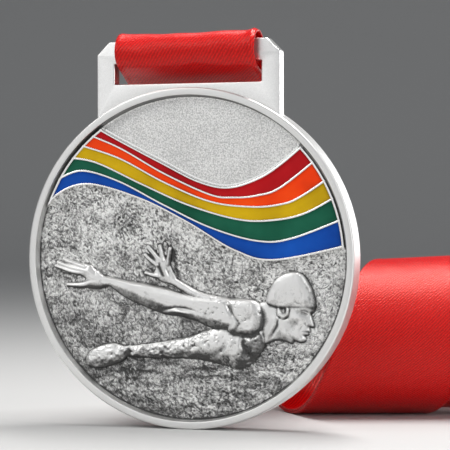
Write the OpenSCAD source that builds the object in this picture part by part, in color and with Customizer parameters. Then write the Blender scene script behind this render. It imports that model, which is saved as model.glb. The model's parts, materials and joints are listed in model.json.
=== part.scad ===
// Round sports finisher medal on its satin ribbon, standing on its rim.
// The medal stands upright, faces -Y, and the rolled ribbon lies behind it on the right.

/* [Medal] */
// Diameter of the medal
medal_d = 70; // [66:1:74]
// Thickness of the medal at the rim
medal_t = 5.9; // [5.4:0.1:6.4]
// Width of the raised rim
rim_w = 1.5; // [1.2:0.1:2]
// Depth of the two sunk fields below the rim
field_depth = 1.8; // [1.6:0.1:2.2]
// Width of the flat rim round the back
back_rim_w = 2.7; // [2:0.1:4]
// Depth of the sunk field in the back
back_depth = 0.5; // [0.3:0.1:0.8]
// Width of the bevel along the outer edges
edge_bevel = 0.4; // [0.2:0.1:0.6]

/* [Ribbon hanger] */
// Width of the slotted hanger
hanger_w = 39.4; // [38:0.1:41]
// Thickness of the hanger plate
hanger_t = 3; // [2.6:0.1:3.2]
// Set-back of the hanger face behind the rim face
hanger_inset = 0.45; // [0.3:0.05:0.8]
// Length of the slot
slot_l = 31.5; // [31:0.1:33]
// Height of the slot
slot_h = 4.3; // [4.2:0.1:5]
// Height of the bar above the slot
bar_h = 4.5; // [4:0.1:4.8]
// Gap between the top of the disc and the slot
slot_rise = 0.85; // [0.6:0.05:1.2]
// Size of the corner chamfers
corner_chamfer = 2.7; // [2:0.1:3.5]

/* [Enamel band] */
// Height of the band's metal walls above the sunk fields
band_h = 1.0; // [0.8:0.1:1.2]
// Depth of the enamel below the tops of its walls
enamel_sink = 0.15; // [0.1:0.05:0.2]
// Thickness of the enamel
enamel_t = 0.6; // [0.5:0.05:0.7]
// Width of the metal walls between the colours
wall_w = 0.42; // [0.35:0.01:0.5]
// Gap between the band and the rim
band_gap = 0.6; // [0.5:0.05:0.9]

/* [Ribbon] */
// Width of the ribbon
ribbon_w = 30; // [28:0.5:30.5]
// Thickness of the doubled ribbon
ribbon_t = 1; // [0.8:0.1:1.2]
// Length of the ribbon from the bar to its far fold, both legs side by side
ribbon_l = 425; // [400:5:450]
// Radius of the roll's outside
roll_r = 17; // [16:0.5:18]
// Distance of the roll's centre line behind the medal
roll_back = 25.5; // [24:0.5:28]
// Turn of the roll about the vertical
roll_turn = 17.2; // [14:0.1:20]
// Radius of the loop round the bar
loop_r = 3.9; // [3.7:0.1:4.2]

/* [Hidden] */

$fn = 180;
medal_r = medal_d / 2;
sink_r = medal_r - rim_w;
wall_draft = 0.45;
field_t = 0.3;
field_clear = 0.05;
relief_fn = 20;

slot_bottom = medal_r + slot_rise;
slot_top = slot_bottom + slot_h;
hanger_top = slot_top + bar_h;
hanger_low = 24;
bar_v = slot_top + bar_h / 2;
bar_w = -hanger_inset - hanger_t / 2;

panel_r = sink_r - band_gap;
enamel_r = panel_r - 0.55;
line_steps = 6;

// The band's lines from its upper edge to its lower edge, each as seven or eight knots
wave_lines = [
    [[-21, 27.8], [-15.2, 24.6], [-5.2, 19.5], [2.2, 15.9], [8.5, 14.6], [14.7, 16.3], [19.8, 19.4], [27, 25.3]],
    [[-24.5, 26.6], [-15.2, 22.9], [-5.2, 17.4], [4.8, 13], [9.9, 12.4], [14.8, 12.8], [19.8, 14.5], [29, 21.5]],
    [[-25, 23.8], [-15.2, 20.7], [-5.2, 15.6], [4.8, 11.6], [13.6, 10.5], [19.8, 11], [24, 12.6], [32, 17.8]],
    [[-27, 20.9], [-20.2, 19.8], [-10.2, 15.3], [-0.2, 11], [9.9, 8.1], [17, 7.7], [24.8, 9.2], [34, 14.2]],
    [[-29, 16.2], [-23.3, 18.1], [-15.2, 15.9], [-5.2, 10.9], [4.8, 6.3], [14.8, 3.6], [22.3, 4.2], [35, 9]],
    [[-33, 8.2], [-28.5, 13.2], [-21.5, 15.1], [-10.2, 12], [-0.2, 7.2], [9.9, 1.5], [18.8, -0.4], [36, 3.1]]];

// The roll: angles grow along the ribbon and are zero where the outer turn lies on the surface
half_t = ribbon_t / 2;
roll_c = roll_r - half_t;
turn_slope = 19.5 / 180;
turn_mid = 34.9;
drop_angle = -130;
top_angle = 180;
straight_angle = 240;
inner_r = 5;
inner_sag = 0.2;
ring_step = 10;

// How far the roll has moved along its axis at each angle: a steady slant that dies out past the top
function past_top(q) = q <= top_angle ? 0 : q >= straight_angle ? q - (top_angle + straight_angle) / 2
    : pow(q - top_angle, 2) / (2 * (straight_angle - top_angle));
function roll_along(q) = turn_mid + turn_slope * (q - past_top(q));

// Where the medal's bar and the roll lie in the standing frame, before the origin is set
bar_point = [0, -medal_t - bar_w, medal_r + bar_v];
roll_x_dir = [cos(roll_turn), sin(roll_turn), 0];
roll_y_dir = [-sin(roll_turn), cos(roll_turn), 0];
function roll_point(q, r, c) = roll_x_dir * roll_along(q) + roll_y_dir * (roll_back - r * sin(q))
    + [0, 0, c - r * cos(q)];
function roll_out(q) = -roll_y_dir * sin(q) - [0, 0, cos(q)];

// Straight drop from the loop round the bar to the back of the roll
tip_l = 9;
drop_end = roll_point(drop_angle, roll_c, roll_r);
drop_len = norm(drop_end - bar_point);
drop_dir = (drop_end - bar_point) / drop_len;
drop_side = atan2(drop_dir[1], -drop_dir[2]);
drop_start = bar_point + [0, sin(drop_side), -cos(drop_side)] * (tip_l + 0.02);

// The rest of the ribbon's length winds inwards
outer_stretch = sqrt(1 + pow(turn_slope * 180 / (PI * roll_c), 2));
outer_len = roll_c * (top_angle - drop_angle) * PI / 180 * outer_stretch;
inner_turn = (ribbon_l - drop_len - outer_len) * 360 / (PI * (roll_c + inner_r));
end_angle = top_angle + inner_turn;
function spiral_r(q) = q <= top_angle ? roll_c : roll_c - (roll_c - inner_r) * (q - top_angle) / inner_turn;
function spiral_c(q) = roll_r - inner_sag * (roll_c - spiral_r(q));

// The whole assembly's box puts the origin at its bottom centre
right_edge = [for (q = [0:5:720]) roll_point(q, spiral_r(q) + half_t, spiral_c(q)) + roll_x_dir * ribbon_w / 2];
box_right = max([for (p = right_edge) p[0]]);
box_back = max([for (p = right_edge) p[1]]);
box_front = min(-medal_t, bar_point[1] - loop_r);
origin = [(medal_r - box_right) / 2, -(box_front + box_back) / 2, 0];

// Colours
metal = [0.80, 0.80, 0.79];
cloth = [0.78, 0.02, 0.03];

// Medal frame: X to the right, Y up the face, Z out of the face from the rim's front plane
module medal_frame() {
    translate(origin + [0, -medal_t, medal_r]) rotate([90, 0, 0]) children();
}

// Smooth curve through knots
function spline_point(p, i, t) =
    let (a = p[max(i - 1, 0)], b = p[i], c = p[i + 1], d = p[min(i + 2, len(p) - 1)])
    0.5 * (2 * b + (c - a) * t + (2 * a - 5 * b + 4 * c - d) * t * t + (3 * b - a - 3 * c + d) * t * t * t);
function spline(p) = concat([for (i = [0:len(p) - 2]) for (k = [0:line_steps - 1])
    spline_point(p, i, k / line_steps)], [p[len(p) - 1]]);
function side(p, i, d) =
    let (a = p[max(i - 1, 0)], b = p[min(i + 1, len(p) - 1)], n = [a[1] - b[1], b[0] - a[0]])
    p[i] + n / norm(n) * d;
function beside(p, d) = [for (i = [0:len(p) - 1]) side(p, i, d)];
function backwards(p) = [for (i = [len(p) - 1:-1:0]) p[i]];

// Area between two of the band's lines, drawn in by the given amounts, inside a circle
module between(upper, lower, upper_in, lower_in, r) {
    top = beside(spline(wave_lines[upper]), -upper_in);
    bottom = beside(spline(wave_lines[lower]), lower_in);
    intersection() {
        circle(r);
        polygon(concat(top, backwards(bottom)));
    }
}

module colour_cell(i, grow) {
    up = i == 0 ? wall_w : wall_w / 2;
    down = i == 4 ? wall_w : wall_w / 2;
    between(i, i + 1, up - grow, down - grow, enamel_r + grow);
}

module enamel(i, shade) {
    top = -field_depth + band_h - enamel_sink;
    color(shade) medal_frame()
        translate([0, 0, top - enamel_t]) linear_extrude(enamel_t) colour_cell(i, 0);
}

// Disc with raised rims on both faces, turned in one profile
module disc() {
    floor_w = -field_depth - field_t;
    back = -medal_t;
    inner = medal_r - back_rim_w;
    color(metal) medal_frame() rotate_extrude() polygon([
        [0, floor_w], [sink_r - wall_draft, floor_w], [sink_r, 0],
        [medal_r - edge_bevel, 0], [medal_r, -edge_bevel], [medal_r, back + edge_bevel], [medal_r - edge_bevel, back],
        [inner, back], [inner - back_depth, back + back_depth], [0, back + back_depth]]);
}

module hanger_outline() {
    w = hanger_w / 2;
    c = corner_chamfer;
    polygon([[-w, hanger_low], [w, hanger_low], [w, hanger_top - c], [w - c, hanger_top],
        [c - w, hanger_top], [-w, hanger_top - c]]);
}

module ribbon_hanger() {
    color(metal) medal_frame() difference() {
        translate([0, 0, -hanger_inset - hanger_t]) linear_extrude(hanger_t) hanger_outline();
        translate([-slot_l / 2, slot_bottom, -medal_t]) cube([slot_l, slot_h, 2 * medal_t]);
        translate([0, 0, -2 * medal_t]) cylinder(h = 4 * medal_t, r = medal_r);
    }
}

// Sunk field on one side of the band, up to the rim's wall
module field_area(line_index, reach) {
    line = spline(wave_lines[line_index]);
    intersection() {
        circle(sink_r - wall_draft - field_clear);
        polygon(concat([[line[0][0], reach]], line, [[line[len(line) - 1][0], reach]]));
    }
}

module field_plate() {
    color(metal) medal_frame() translate([0, 0, -field_depth - field_t]) linear_extrude(field_t) children();
}

// The upper field also runs past both ends of the band as narrow strips
module upper_field() {
    field_plate() {
        field_area(0, medal_r);
        difference() {
            between(0, 5, 0, 0, sink_r - wall_draft - field_clear);
            circle(panel_r);
        }
    }
}

module water_field() {
    field_plate() field_area(5, -medal_r);
}

module band_frame() {
    color(metal) medal_frame() difference() {
        translate([0, 0, -field_depth - field_t]) linear_extrude(band_h + field_t)
            between(0, 5, 0, 0, panel_r);
        for (i = [0:4])
            translate([0, 0, -field_depth + band_h - enamel_sink - enamel_t]) linear_extrude(band_h)
                colour_cell(i, 0);
    }
}

// Rounded limb between two points of the face, flattened onto the field
module limb(a, ra, b, rb, high) {
    hull() {
        translate([a[0], a[1], 0]) scale([ra, ra, high]) sphere(1, $fn = relief_fn);
        translate([b[0], b[1], 0]) scale([rb, rb, high]) sphere(1, $fn = relief_fn);
    }
}

module swimmer_shape() {
    // Near arm, from the shoulder to the hand
    limb([12.2, -11.8], 3.8, [4, -10.6], 3.2, 1.4);
    limb([4, -10.6], 3.2, [-5, -8.4], 2.5, 1.3);
    limb([-5, -8.4], 2.5, [-17, -4.7], 1.3, 1.0);
    limb([-17, -4.7], 1.3, [-22, -3.2], 1.9, 0.9);
    limb([-22, -2.6], 1.5, [-27.8, -1], 0.5, 0.7);
    limb([-21, -4.6], 1.3, [-26, -5.8], 0.5, 0.7);
    // Far arm and its open hand
    limb([8, -8.6], 1.2, [-3, -4.6], 1, 0.9);
    limb([-3, -4.6], 1, [-5.6, -2.4], 1.3, 0.7);
    for (tip = [[-8.6, 2], [-9.2, 0.6], [-6.1, 2.2], [-3.8, 1.7], [-9, -3.2]])
        limb([-5.6, -2], 0.9, tip, 0.35, 0.5);
    // Body, thigh and shin
    limb([11.5, -16.8], 4.6, [2, -17.6], 2.8, 1.3);
    limb([2, -18], 2.4, [-13, -19.8], 0.9, 1.0);
    limb([-14.8, -19.7], 1.5, [-20.3, -21], 1.2, 1.0);
    // Neck and head
    limb([16.6, -13], 3.6, [19.6, -13.2], 3.2, 1.2);
    limb([21.8, -7.6], 4.8, [22.6, -12.8], 4, 1.4);
}

module swimmer_relief() {
    color(metal) medal_frame() translate([0, 0, -field_depth]) intersection() {
        swimmer_shape();
        translate([-medal_r, -medal_r, 0]) cube([medal_d, medal_d, field_depth]);
    }
}

module enamel_red() {
    enamel(0, [0.77, 0.07, 0.09]);
}

module enamel_orange() {
    enamel(1, [1, 0.27, 0.02]);
}

module enamel_yellow() {
    enamel(2, [0.86, 0.7, 0]);
}

module enamel_green() {
    enamel(3, [0.05, 0.36, 0.27]);
}

module enamel_blue() {
    enamel(4, [0.04, 0.3, 0.7]);
}

// Teardrop loop round the bar; its tip lies along the drop
module loop_section() {
    reach = sqrt(pow(tip_l, 2) - pow(loop_r - half_t, 2));
    lean = asin((loop_r - half_t) / tip_l);
    foot = [loop_r * cos(lean), loop_r * sin(lean)];
    difference() {
        union() {
            circle(loop_r);
            polygon([[foot[0], foot[1]], [half_t, tip_l], [-half_t, tip_l], [-foot[0], foot[1]]]);
        }
        circle(loop_r - 0.8 * ribbon_t);
    }
}

module ribbon_bar_loop() {
    color(cloth) translate(origin + bar_point) rotate([drop_side, 0, 0]) rotate([90, 0, 90])
        translate([0, 0, -ribbon_w / 2]) linear_extrude(ribbon_w) rotate(180) loop_section();
}

// One ring of a strip: middle, direction across it, direction out of it, width and its two faces
function ring(p, across, out, w, low, high) = [
    p - across * w / 2 + out * low, p + across * w / 2 + out * low,
    p + across * w / 2 + out * high, p - across * w / 2 + out * high];

// Closed strip over a list of rings
module strip(rings) {
    n = len(rings);
    points = [for (r = rings) for (p = r) p];
    sides = [for (i = [0:n - 2]) for (j = [0:3]) for (k = [0, 1])
        let (a = 4 * i + j, b = 4 * i + (j + 1) % 4)
        k == 0 ? [a, b, b + 4] : [a, b + 4, a + 4]];
    last = 4 * (n - 1);
    polyhedron(points, concat([[0, 3, 2], [0, 2, 1]], sides,
        [[last, last + 1, last + 2], [last, last + 2, last + 3]]));
}

// Ring of the drop at a share of its length; the drop twists from the bar to the roll
function drop_ring(t, w, low, high) =
    let (across = [cos(roll_turn * t), sin(roll_turn * t), 0])
    let (out = cross(across, drop_dir))
    ring(drop_start + (drop_end - drop_start) * t, across, out / norm(out), w, low, high);

module ribbon_drop() {
    steps = 12;
    color(cloth) translate(origin)
        strip([for (i = [0:steps]) drop_ring(i / steps, ribbon_w, -half_t, half_t)]);
}

module ribbon_roll() {
    angles = concat([for (q = [drop_angle:ring_step:end_angle - ring_step / 2]) q], [end_angle]);
    color(cloth) translate(origin)
        strip([for (q = angles) ring(roll_point(q, spiral_r(q), spiral_c(q)), roll_x_dir, roll_out(q),
            ribbon_w, -half_t, half_t)]);
}

// Block of thread that sews the two legs together behind the medal
module ribbon_seam() {
    low = half_t + 0.02;
    color([0.6, 0.01, 0.02]) translate(origin)
        strip([for (t = [0.16, 0.3]) drop_ring(t, 22, low, low + 0.4)]);
}

disc();
ribbon_hanger();
upper_field();
water_field();
swimmer_relief();
band_frame();
enamel_red();
enamel_orange();
enamel_yellow();
enamel_green();
enamel_blue();
ribbon_bar_loop();
ribbon_drop();
ribbon_roll();
ribbon_seam();
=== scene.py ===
import json
import math
import bpy
import bmesh
import numpy as np
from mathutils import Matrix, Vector

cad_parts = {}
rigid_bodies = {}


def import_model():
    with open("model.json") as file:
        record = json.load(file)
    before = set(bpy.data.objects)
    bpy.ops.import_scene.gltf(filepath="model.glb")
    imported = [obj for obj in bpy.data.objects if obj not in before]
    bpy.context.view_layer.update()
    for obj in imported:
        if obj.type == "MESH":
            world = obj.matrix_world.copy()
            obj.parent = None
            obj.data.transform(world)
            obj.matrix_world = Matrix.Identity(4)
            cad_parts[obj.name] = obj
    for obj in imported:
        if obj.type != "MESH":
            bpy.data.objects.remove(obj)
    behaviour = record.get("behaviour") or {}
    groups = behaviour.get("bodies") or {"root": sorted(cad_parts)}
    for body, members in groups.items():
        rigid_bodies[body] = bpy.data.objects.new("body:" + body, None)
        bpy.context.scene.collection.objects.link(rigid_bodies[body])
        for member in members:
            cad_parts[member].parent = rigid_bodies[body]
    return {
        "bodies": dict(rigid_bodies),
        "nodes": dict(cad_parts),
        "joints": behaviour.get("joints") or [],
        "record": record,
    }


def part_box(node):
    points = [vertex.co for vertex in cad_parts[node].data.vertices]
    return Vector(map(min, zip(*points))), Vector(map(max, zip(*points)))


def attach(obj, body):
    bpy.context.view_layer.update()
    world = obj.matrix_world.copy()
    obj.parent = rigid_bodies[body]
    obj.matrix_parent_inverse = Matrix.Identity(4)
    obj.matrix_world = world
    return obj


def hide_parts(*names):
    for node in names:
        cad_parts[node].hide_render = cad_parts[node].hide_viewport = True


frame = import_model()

for spare in [o for o in bpy.data.objects if o.name in ("Cube", "Light", "Camera")]:
    bpy.data.objects.remove(spare)
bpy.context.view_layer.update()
mm = 0.001
discLow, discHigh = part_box("disc")
faceCentre = Vector(((discLow.x + discHigh.x) / 2, discLow.y, (discLow.z + discHigh.z) / 2))
print("frame loaded, medal face at", [round(c, 4) for c in faceCentre])


def onFace(u, v, w):  # millimetres on the medal's face: right, up, out of the face
    u, v, w = np.broadcast_arrays(np.asarray(u, float), v, w)
    return np.stack([faceCentre.x + u * mm, faceCentre.y - w * mm, faceCentre.z + v * mm], -1)


def blend(a, b, x):  # smooth step from a to b
    t = np.clip((x - a) / (b - a), 0, 1)
    return t * t * (3 - 2 * t)


def valueNoise(x, y, seed):  # smooth noise from -1 to 1, one cell per unit
    table = np.random.default_rng(seed).random((256, 256)) * 2 - 1
    xi, yi = np.floor(x).astype(int), np.floor(y).astype(int)
    fx, fy = x - xi, y - yi
    fx, fy = fx ** 3 * (fx * (fx * 6 - 15) + 10), fy ** 3 * (fy * (fy * 6 - 15) + 10)
    at = lambda i, j: table[(xi + i) % 256, (yi + j) % 256]
    return (at(0, 0) * (1 - fx) + at(1, 0) * fx) * (1 - fy) + (at(0, 1) * (1 - fx) + at(1, 1) * fx) * fy


def layeredNoise(x, y, seed, layers=3, gain=0.5):
    total, size, weight = 0, 1, 1
    for layer in range(layers):
        total = total + weight * valueNoise(x * size + 17.3 * layer, y * size - 9.1 * layer, seed + layer)
        size, weight = size * 2, weight * gain
    return total


def curvePart(a, b, c, d, t):  # curve from b to c that passes smoothly on from a and on to d
    square, cube = 2 * a - 5 * b + 4 * c - d, 3 * b - a - 3 * c + d
    return 0.5 * (2 * b + (c - a) * t + square * t ** 2 + cube * t ** 3)


def smoothPath(knots, steps=10):  # open curve through every knot
    k = np.asarray(knots, float)
    ends = np.vstack([k[:1], k, k[-1:]])
    t = np.linspace(0, 1, steps, endpoint=False)[:, None]
    return np.vstack([curvePart(*ends[i:i + 4], t) for i in range(len(k) - 1)] + [k[-1:]])


def closedPath(knots, steps=8):
    k = np.asarray(knots, float)
    t = np.linspace(0, 1, steps, endpoint=False)[:, None]
    around = [np.roll(k, shift, 0) for shift in (1, 0, -1, -2)]
    return np.vstack([curvePart(*corners, t) for corners in zip(*around)])


def placed(name, data):  # new object in the scene
    piece = bpy.data.objects.new(name, data)
    bpy.context.scene.collection.objects.link(piece)
    return piece


def applied(source):  # plain mesh of an object with its curve bevel or modifier applied; the object goes
    mesh = bpy.data.meshes.new_from_object(source.evaluated_get(bpy.context.evaluated_depsgraph_get()))
    bpy.data.objects.remove(source)
    return mesh


def smoothed(piece, sharpAngle=0):  # shaded smooth, with edges kept sharp past an angle where one is given
    piece.data.polygons.foreach_set("use_smooth", [True] * len(piece.data.polygons))
    if sharpAngle:
        piece.data.set_sharp_from_angle(angle=math.radians(sharpAngle))
    return piece


def meshPiece(name, points, faces, sharpAngle=35):
    mesh = bpy.data.meshes.new(name)
    mesh.from_pydata([tuple(p) for p in np.asarray(points, float)], [], [tuple(f) for f in faces])
    mesh.validate()
    return smoothed(placed(name, mesh), sharpAngle)


def gridFaces(rows, columns, wrapRows=False, wrapColumns=False):
    r = np.arange(rows if wrapRows else rows - 1)
    c = np.arange(columns if wrapColumns else columns - 1)
    r, c = np.meshgrid(r, c, indexing="ij")
    nextRow, nextColumn = (r + 1) % rows, (c + 1) % columns
    corners = [(r, c), (r, nextColumn), (nextRow, nextColumn), (nextRow, c)]
    return np.stack([row * columns + column for row, column in corners], -1).reshape(-1, 4)


def outward(piece):  # turns the faces of a closed shell outwards
    bm = bmesh.new()
    bm.from_mesh(piece.data)
    bmesh.ops.recalc_face_normals(bm, faces=bm.faces)
    bm.to_mesh(piece.data)
    bm.free()
    return piece


def giveAttribute(piece, name, values):
    layer = piece.data.attributes.new(name, "FLOAT", "POINT")
    layer.data.foreach_set("value", np.asarray(values, np.float32).ravel())


def addMaterial(piece, material):
    piece.data.materials.clear()
    piece.data.materials.append(material)


def finishPiece(piece, material, body, slotName, *nodes):
    addMaterial(piece, material)
    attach(piece, body)
    if nodes:
        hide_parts(*nodes)
    return piece


class NodeMaterial:  # short calls for building a material's nodes
    def __init__(self, name):
        self.material = bpy.data.materials.new(name)
        self.material.use_nodes = True
        self.tree = self.material.node_tree
        self.shader = self.tree.nodes["Principled BSDF"]

    def add(self, kind, **values):
        node = self.tree.nodes.new(kind)
        for key, value in values.items():
            if key in node.inputs:
                node.inputs[key].default_value = value
            else:
                setattr(node, key, value)
        return node

    def join(self, out, into):
        self.tree.links.new(out, into)

    def feed(self, out, socket):  # into the shader
        self.join(out, self.shader.inputs[socket])

    def shade(self, **values):
        for key, value in values.items():
            self.shader.inputs[key.replace("_", " ")].default_value = value

    def place(self):
        return self.add("ShaderNodeTexCoord").outputs["Object"]

    def attribute(self, name):
        return self.add("ShaderNodeAttribute", attribute_name=name).outputs["Fac"]

    def noise(self, vector, **values):
        node = self.add("ShaderNodeTexNoise", **values)
        self.join(vector, node.inputs["Vector"])
        return node.outputs["Fac"]

    def ramp(self, factor, stops):
        node = self.add("ShaderNodeValToRGB")
        elements = node.color_ramp.elements
        while len(elements) < len(stops):
            elements.new(0.5)
        for element, (position, colour) in zip(elements, stops):
            element.position = position
            element.color = (*colour, 1)
        self.join(factor, node.inputs["Fac"])
        return node.outputs["Color"]

    def math(self, operation, *terms):
        node = self.add("ShaderNodeMath", operation=operation)
        for socket, value in zip(node.inputs, terms):
            if isinstance(value, (int, float)):
                socket.default_value = value
            else:
                self.join(value, socket)
        return node.outputs[0]

    def weighted(self, *terms):  # sum of outputs, each times its share
        total = 0.0
        for out, share in terms:
            total = self.math("ADD", self.math("MULTIPLY", out, share), total)
        return total

    def bump(self, height, strength, distance):
        node = self.add("ShaderNodeBump", Strength=strength, Distance=distance)
        self.join(height, node.inputs["Height"])
        self.feed(node.outputs["Normal"], "Normal")


def grey(level):  # slightly warm silver
    return (level, level * 0.997, level * 0.985)


# "bright" is the bare metal and "dark" its specks, or its patina and painted shade where the tone follows an
# attribute; "grain" is a noise scale; lengths are in metres
metalLook = {
    "satin": {"bright": 0.95, "dark": 0.86, "rough": (0.30, 0.40), "grain": 5200, "contrast": 0.10,
              "bump": 0.12},
    "wall": {"bright": 0.95, "dark": 0.85, "rough": (0.20, 0.30), "grain": 4200, "contrast": 0.10,
             "bump": 0.08},
    "sand": {"bright": 0.97, "dark": 0.56, "rough": (0.42, 0.52), "grain": 3300, "contrast": 0.05,
             "bump": 1.0},
    "water": {"bright": 0.97, "dark": 0.08, "rough": (0.32, 0.44), "grain": 2300, "contrast": 0.07,
              "bump": 1.0, "cracks": 0.58, "deep": 0.00018},
    "figure": {"bright": 0.83, "dark": 0.085, "rough": (0.34, 0.50), "grain": 2600, "contrast": 0.16,
               "bump": 0.30},
}
crackLines = ((300.0, 24.0, 0.40), (780.0, 12.0, 0.35), (1900.0, 7.0, 0.25))  # noise scale, sharpness, share


def metalMaterial(name, look, tonedByAttribute=False):
    m = NodeMaterial(name)
    m.shade(Metallic=1.0)
    place = m.place()
    fine = m.noise(place, Scale=look["grain"], Detail=3.0, Roughness=0.62)
    broad = m.noise(place, Scale=170.0, Detail=4.0, Roughness=0.6)
    dark, bright, contrast = look["dark"], look["bright"], look["contrast"]
    dents = [(fine, 1.0)]
    if "cracks" in look:  # wandering crease lines, coarse and fine
        creases = []
        for scale, sharpness, share in crackLines:
            lines = m.noise(place, Scale=scale, Detail=2.0, Roughness=0.6, Distortion=0.8)
            off = m.math("ABSOLUTE", m.math("SUBTRACT", lines, 0.5))
            creases.append((m.math("MINIMUM", m.math("MULTIPLY", off, sharpness), 1.0), share))
        crease = m.weighted(*creases)
        dents.append((crease, 0.9))
    if tonedByAttribute:  # the attribute sets the tone: dark patina in the hollows and painted shade where the surface turns from the light; the high parts are rubbed bright
        cloud = [(m.math("SUBTRACT", broad, 0.5), 0.20), (m.math("SUBTRACT", fine, 0.5), contrast * 2.5)]
        if "cracks" in look:
            cloud.append((m.math("SUBTRACT", crease, 0.74), look["cracks"]))
        tone = m.weighted((m.attribute("raised"), 1.0), *cloud)
        stops = [(0.0, dark), (0.30, dark * 3.2), (0.55, bright * 0.62), (0.82, bright)]
    else:
        tone = m.weighted((fine, 1 - contrast * 3), (broad, contrast * 3))
        stops = [(0.40, dark), (0.60, bright)]
    m.feed(m.ramp(tone, [(position, grey(level)) for position, level in stops]), "Base Color")
    spread = m.add("ShaderNodeMapRange")
    spread.inputs["To Min"].default_value, spread.inputs["To Max"].default_value = look["rough"]
    m.join(broad, spread.inputs["Value"])
    m.feed(spread.outputs["Result"], "Roughness")
    m.bump(m.weighted(*dents), look["bump"], look.get("deep", 0.0001))
    return m.material


# the two colours that each enamel drifts between
enamelLook = {
    "red": ((0.42, 0.002, 0.006), (0.55, 0.005, 0.009)),
    "orange": ((0.93, 0.050, 0.001), (1.0, 0.078, 0.002)),
    "yellow": ((0.58, 0.36, 0.002), (0.72, 0.46, 0.003)),
    "green": ((0.004, 0.085, 0.045), (0.010, 0.125, 0.070)),
    "blue": ((0.002, 0.060, 0.36), (0.005, 0.095, 0.50)),
}


def enamelMaterial(colour):
    low, high = enamelLook[colour]
    m = NodeMaterial(colour + "Enamel")
    m.shade(Roughness=0.25, Coat_Weight=0.06, Coat_Roughness=0.04, Specular_IOR_Level=0.10, IOR=1.5)
    place = m.place()
    cloudy = m.noise(place, Scale=90.0, Detail=3.0, Roughness=0.5)
    tone = m.weighted((cloudy, 1.0), (m.attribute("edge"), -0.35))  # painted shade: darker along the walls
    m.feed(m.ramp(tone, [(0.10, tuple(c * 0.5 for c in low)), (0.40, low), (0.66, high)]), "Base Color")
    m.bump(m.noise(place, Scale=420.0, Detail=1.0), 0.10, 0.0002)
    return m.material


satinLook = {"dark": (0.37, 0.0, 0.001), "base": (0.55, 0.0, 0.001), "light": (0.80, 0.002, 0.003),
             "twillPitch": 0.60, "threadPitch": 0.30,  # in millimetres
             "rough": 0.30, "stretch": 0.35, "shine": (1.0, 0.30, 0.26, 1), "sheen": (1.0, 0.2, 0.15, 1),
             "relief": 0.000045}  # in metres


def satinMaterial():
    look = satinLook
    m = NodeMaterial("redSatin")
    m.shade(Roughness=look["rough"], Anisotropic=look["stretch"], Specular_IOR_Level=1.0,
            Specular_Tint=look["shine"], Sheen_Weight=0.02, Sheen_Roughness=0.4, Sheen_Tint=look["sheen"])
    uv = m.add("ShaderNodeUVMap", uv_map="cloth").outputs["UV"]  # millimetres across and along
    parts = m.add("ShaderNodeSeparateXYZ")
    m.join(uv, parts.inputs[0])
    across, along = parts.outputs["X"], parts.outputs["Y"]
    wobble = m.noise(uv, Scale=1.3, Detail=2.0)
    speck = m.noise(uv, Scale=2.6, Detail=2.0, Roughness=0.7)
    diagonal = m.weighted((across, 0.8), (along, -0.6), (wobble, 0.5))
    twill = m.math("SINE", m.math("MULTIPLY", diagonal, 2 * math.pi / look["twillPitch"]))
    warp = m.math("SINE", m.math("MULTIPLY", across, 2 * math.pi / look["threadPitch"]))
    tone = m.math("ADD", m.weighted((twill, 0.16), (speck, 0.6)), 0.2)
    m.feed(m.ramp(tone, [(0.30, look["dark"]), (0.52, look["base"]), (0.78, look["light"])]), "Base Color")
    tangent = m.add("ShaderNodeTangent", direction_type="UV_MAP", uv_map="cloth")
    m.feed(tangent.outputs["Tangent"], "Tangent")
    m.bump(m.weighted((twill, 0.5), (warp, 0.2), (speck, 2.4)), 0.9, look["relief"])
    return m.material


def threadMaterial():
    m = NodeMaterial("redThread")
    m.shade(Roughness=0.5, Sheen_Weight=0.3)
    strands = m.add("ShaderNodeTexWave", Scale=2600.0, Distortion=1.5)
    m.join(m.place(), strands.inputs["Vector"])
    strand = strands.outputs["Fac"]
    m.feed(m.ramp(strand, [(0.2, (0.30, 0.0, 0.002)), (0.8, (0.62, 0.004, 0.006))]), "Base Color")
    m.bump(strand, 0.5, 0.00005)
    return m.material


rimLook = dict(metalLook["satin"], dark=0.10, bright=0.81, rough=(0.40, 0.50))
metals = {
    "satin": metalMaterial("satinSilver", metalLook["satin"]),
    "rim": metalMaterial("rimSilver", rimLook, tonedByAttribute=True),
    "wall": metalMaterial("brightWalls", metalLook["wall"]),
    "sand": metalMaterial("sandblastedSilver", metalLook["sand"]),
    "water": metalMaterial("waterSilver", metalLook["water"], tonedByAttribute=True),
    "figure": metalMaterial("reliefSilver", metalLook["figure"], tonedByAttribute=True),
}
print("materials made")

# Lens in millimetres, turn, tip and roll in degrees, the rest in millimetres from the middle of the face
cameraView = {"lens": 152.3, "turn": 17.22, "tip": 0.46, "roll": 0.15, "away": 388.9, "right": 7.8, "up": 6.8}
roomValues = {"colour": (0.80, 0.82, 0.85, 1), "strength": 0.33}
floorValues = {"size": 3.0, "bendStart": 1.0, "bend": 0.5, "rise": 1.6,  # in metres
               "colour": (0.54, 0.54, 0.535, 1)}
lights = {  # place from the medal's face in millimetres (right, back, up), size, watts, colour
    "keyBox": ((-260, -260, 330), (240, 240), 0.72, (1.0, 0.99, 0.97)),
    "frontBox": ((-210, -560, 130), (420, 360), 0.35, (1.0, 1.0, 1.0)),
    "topBox": ((60, 40, 300), (240, 70), 1.4, (1.0, 0.99, 0.98)),
    "rightBox": ((330, -200, 100), (130, 240), 0.40, (1.0, 1.0, 1.0)),
    "rimBox": ((210, 430, 90), (240, 280), 0.62, (1.0, 1.0, 1.0)),
}


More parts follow.
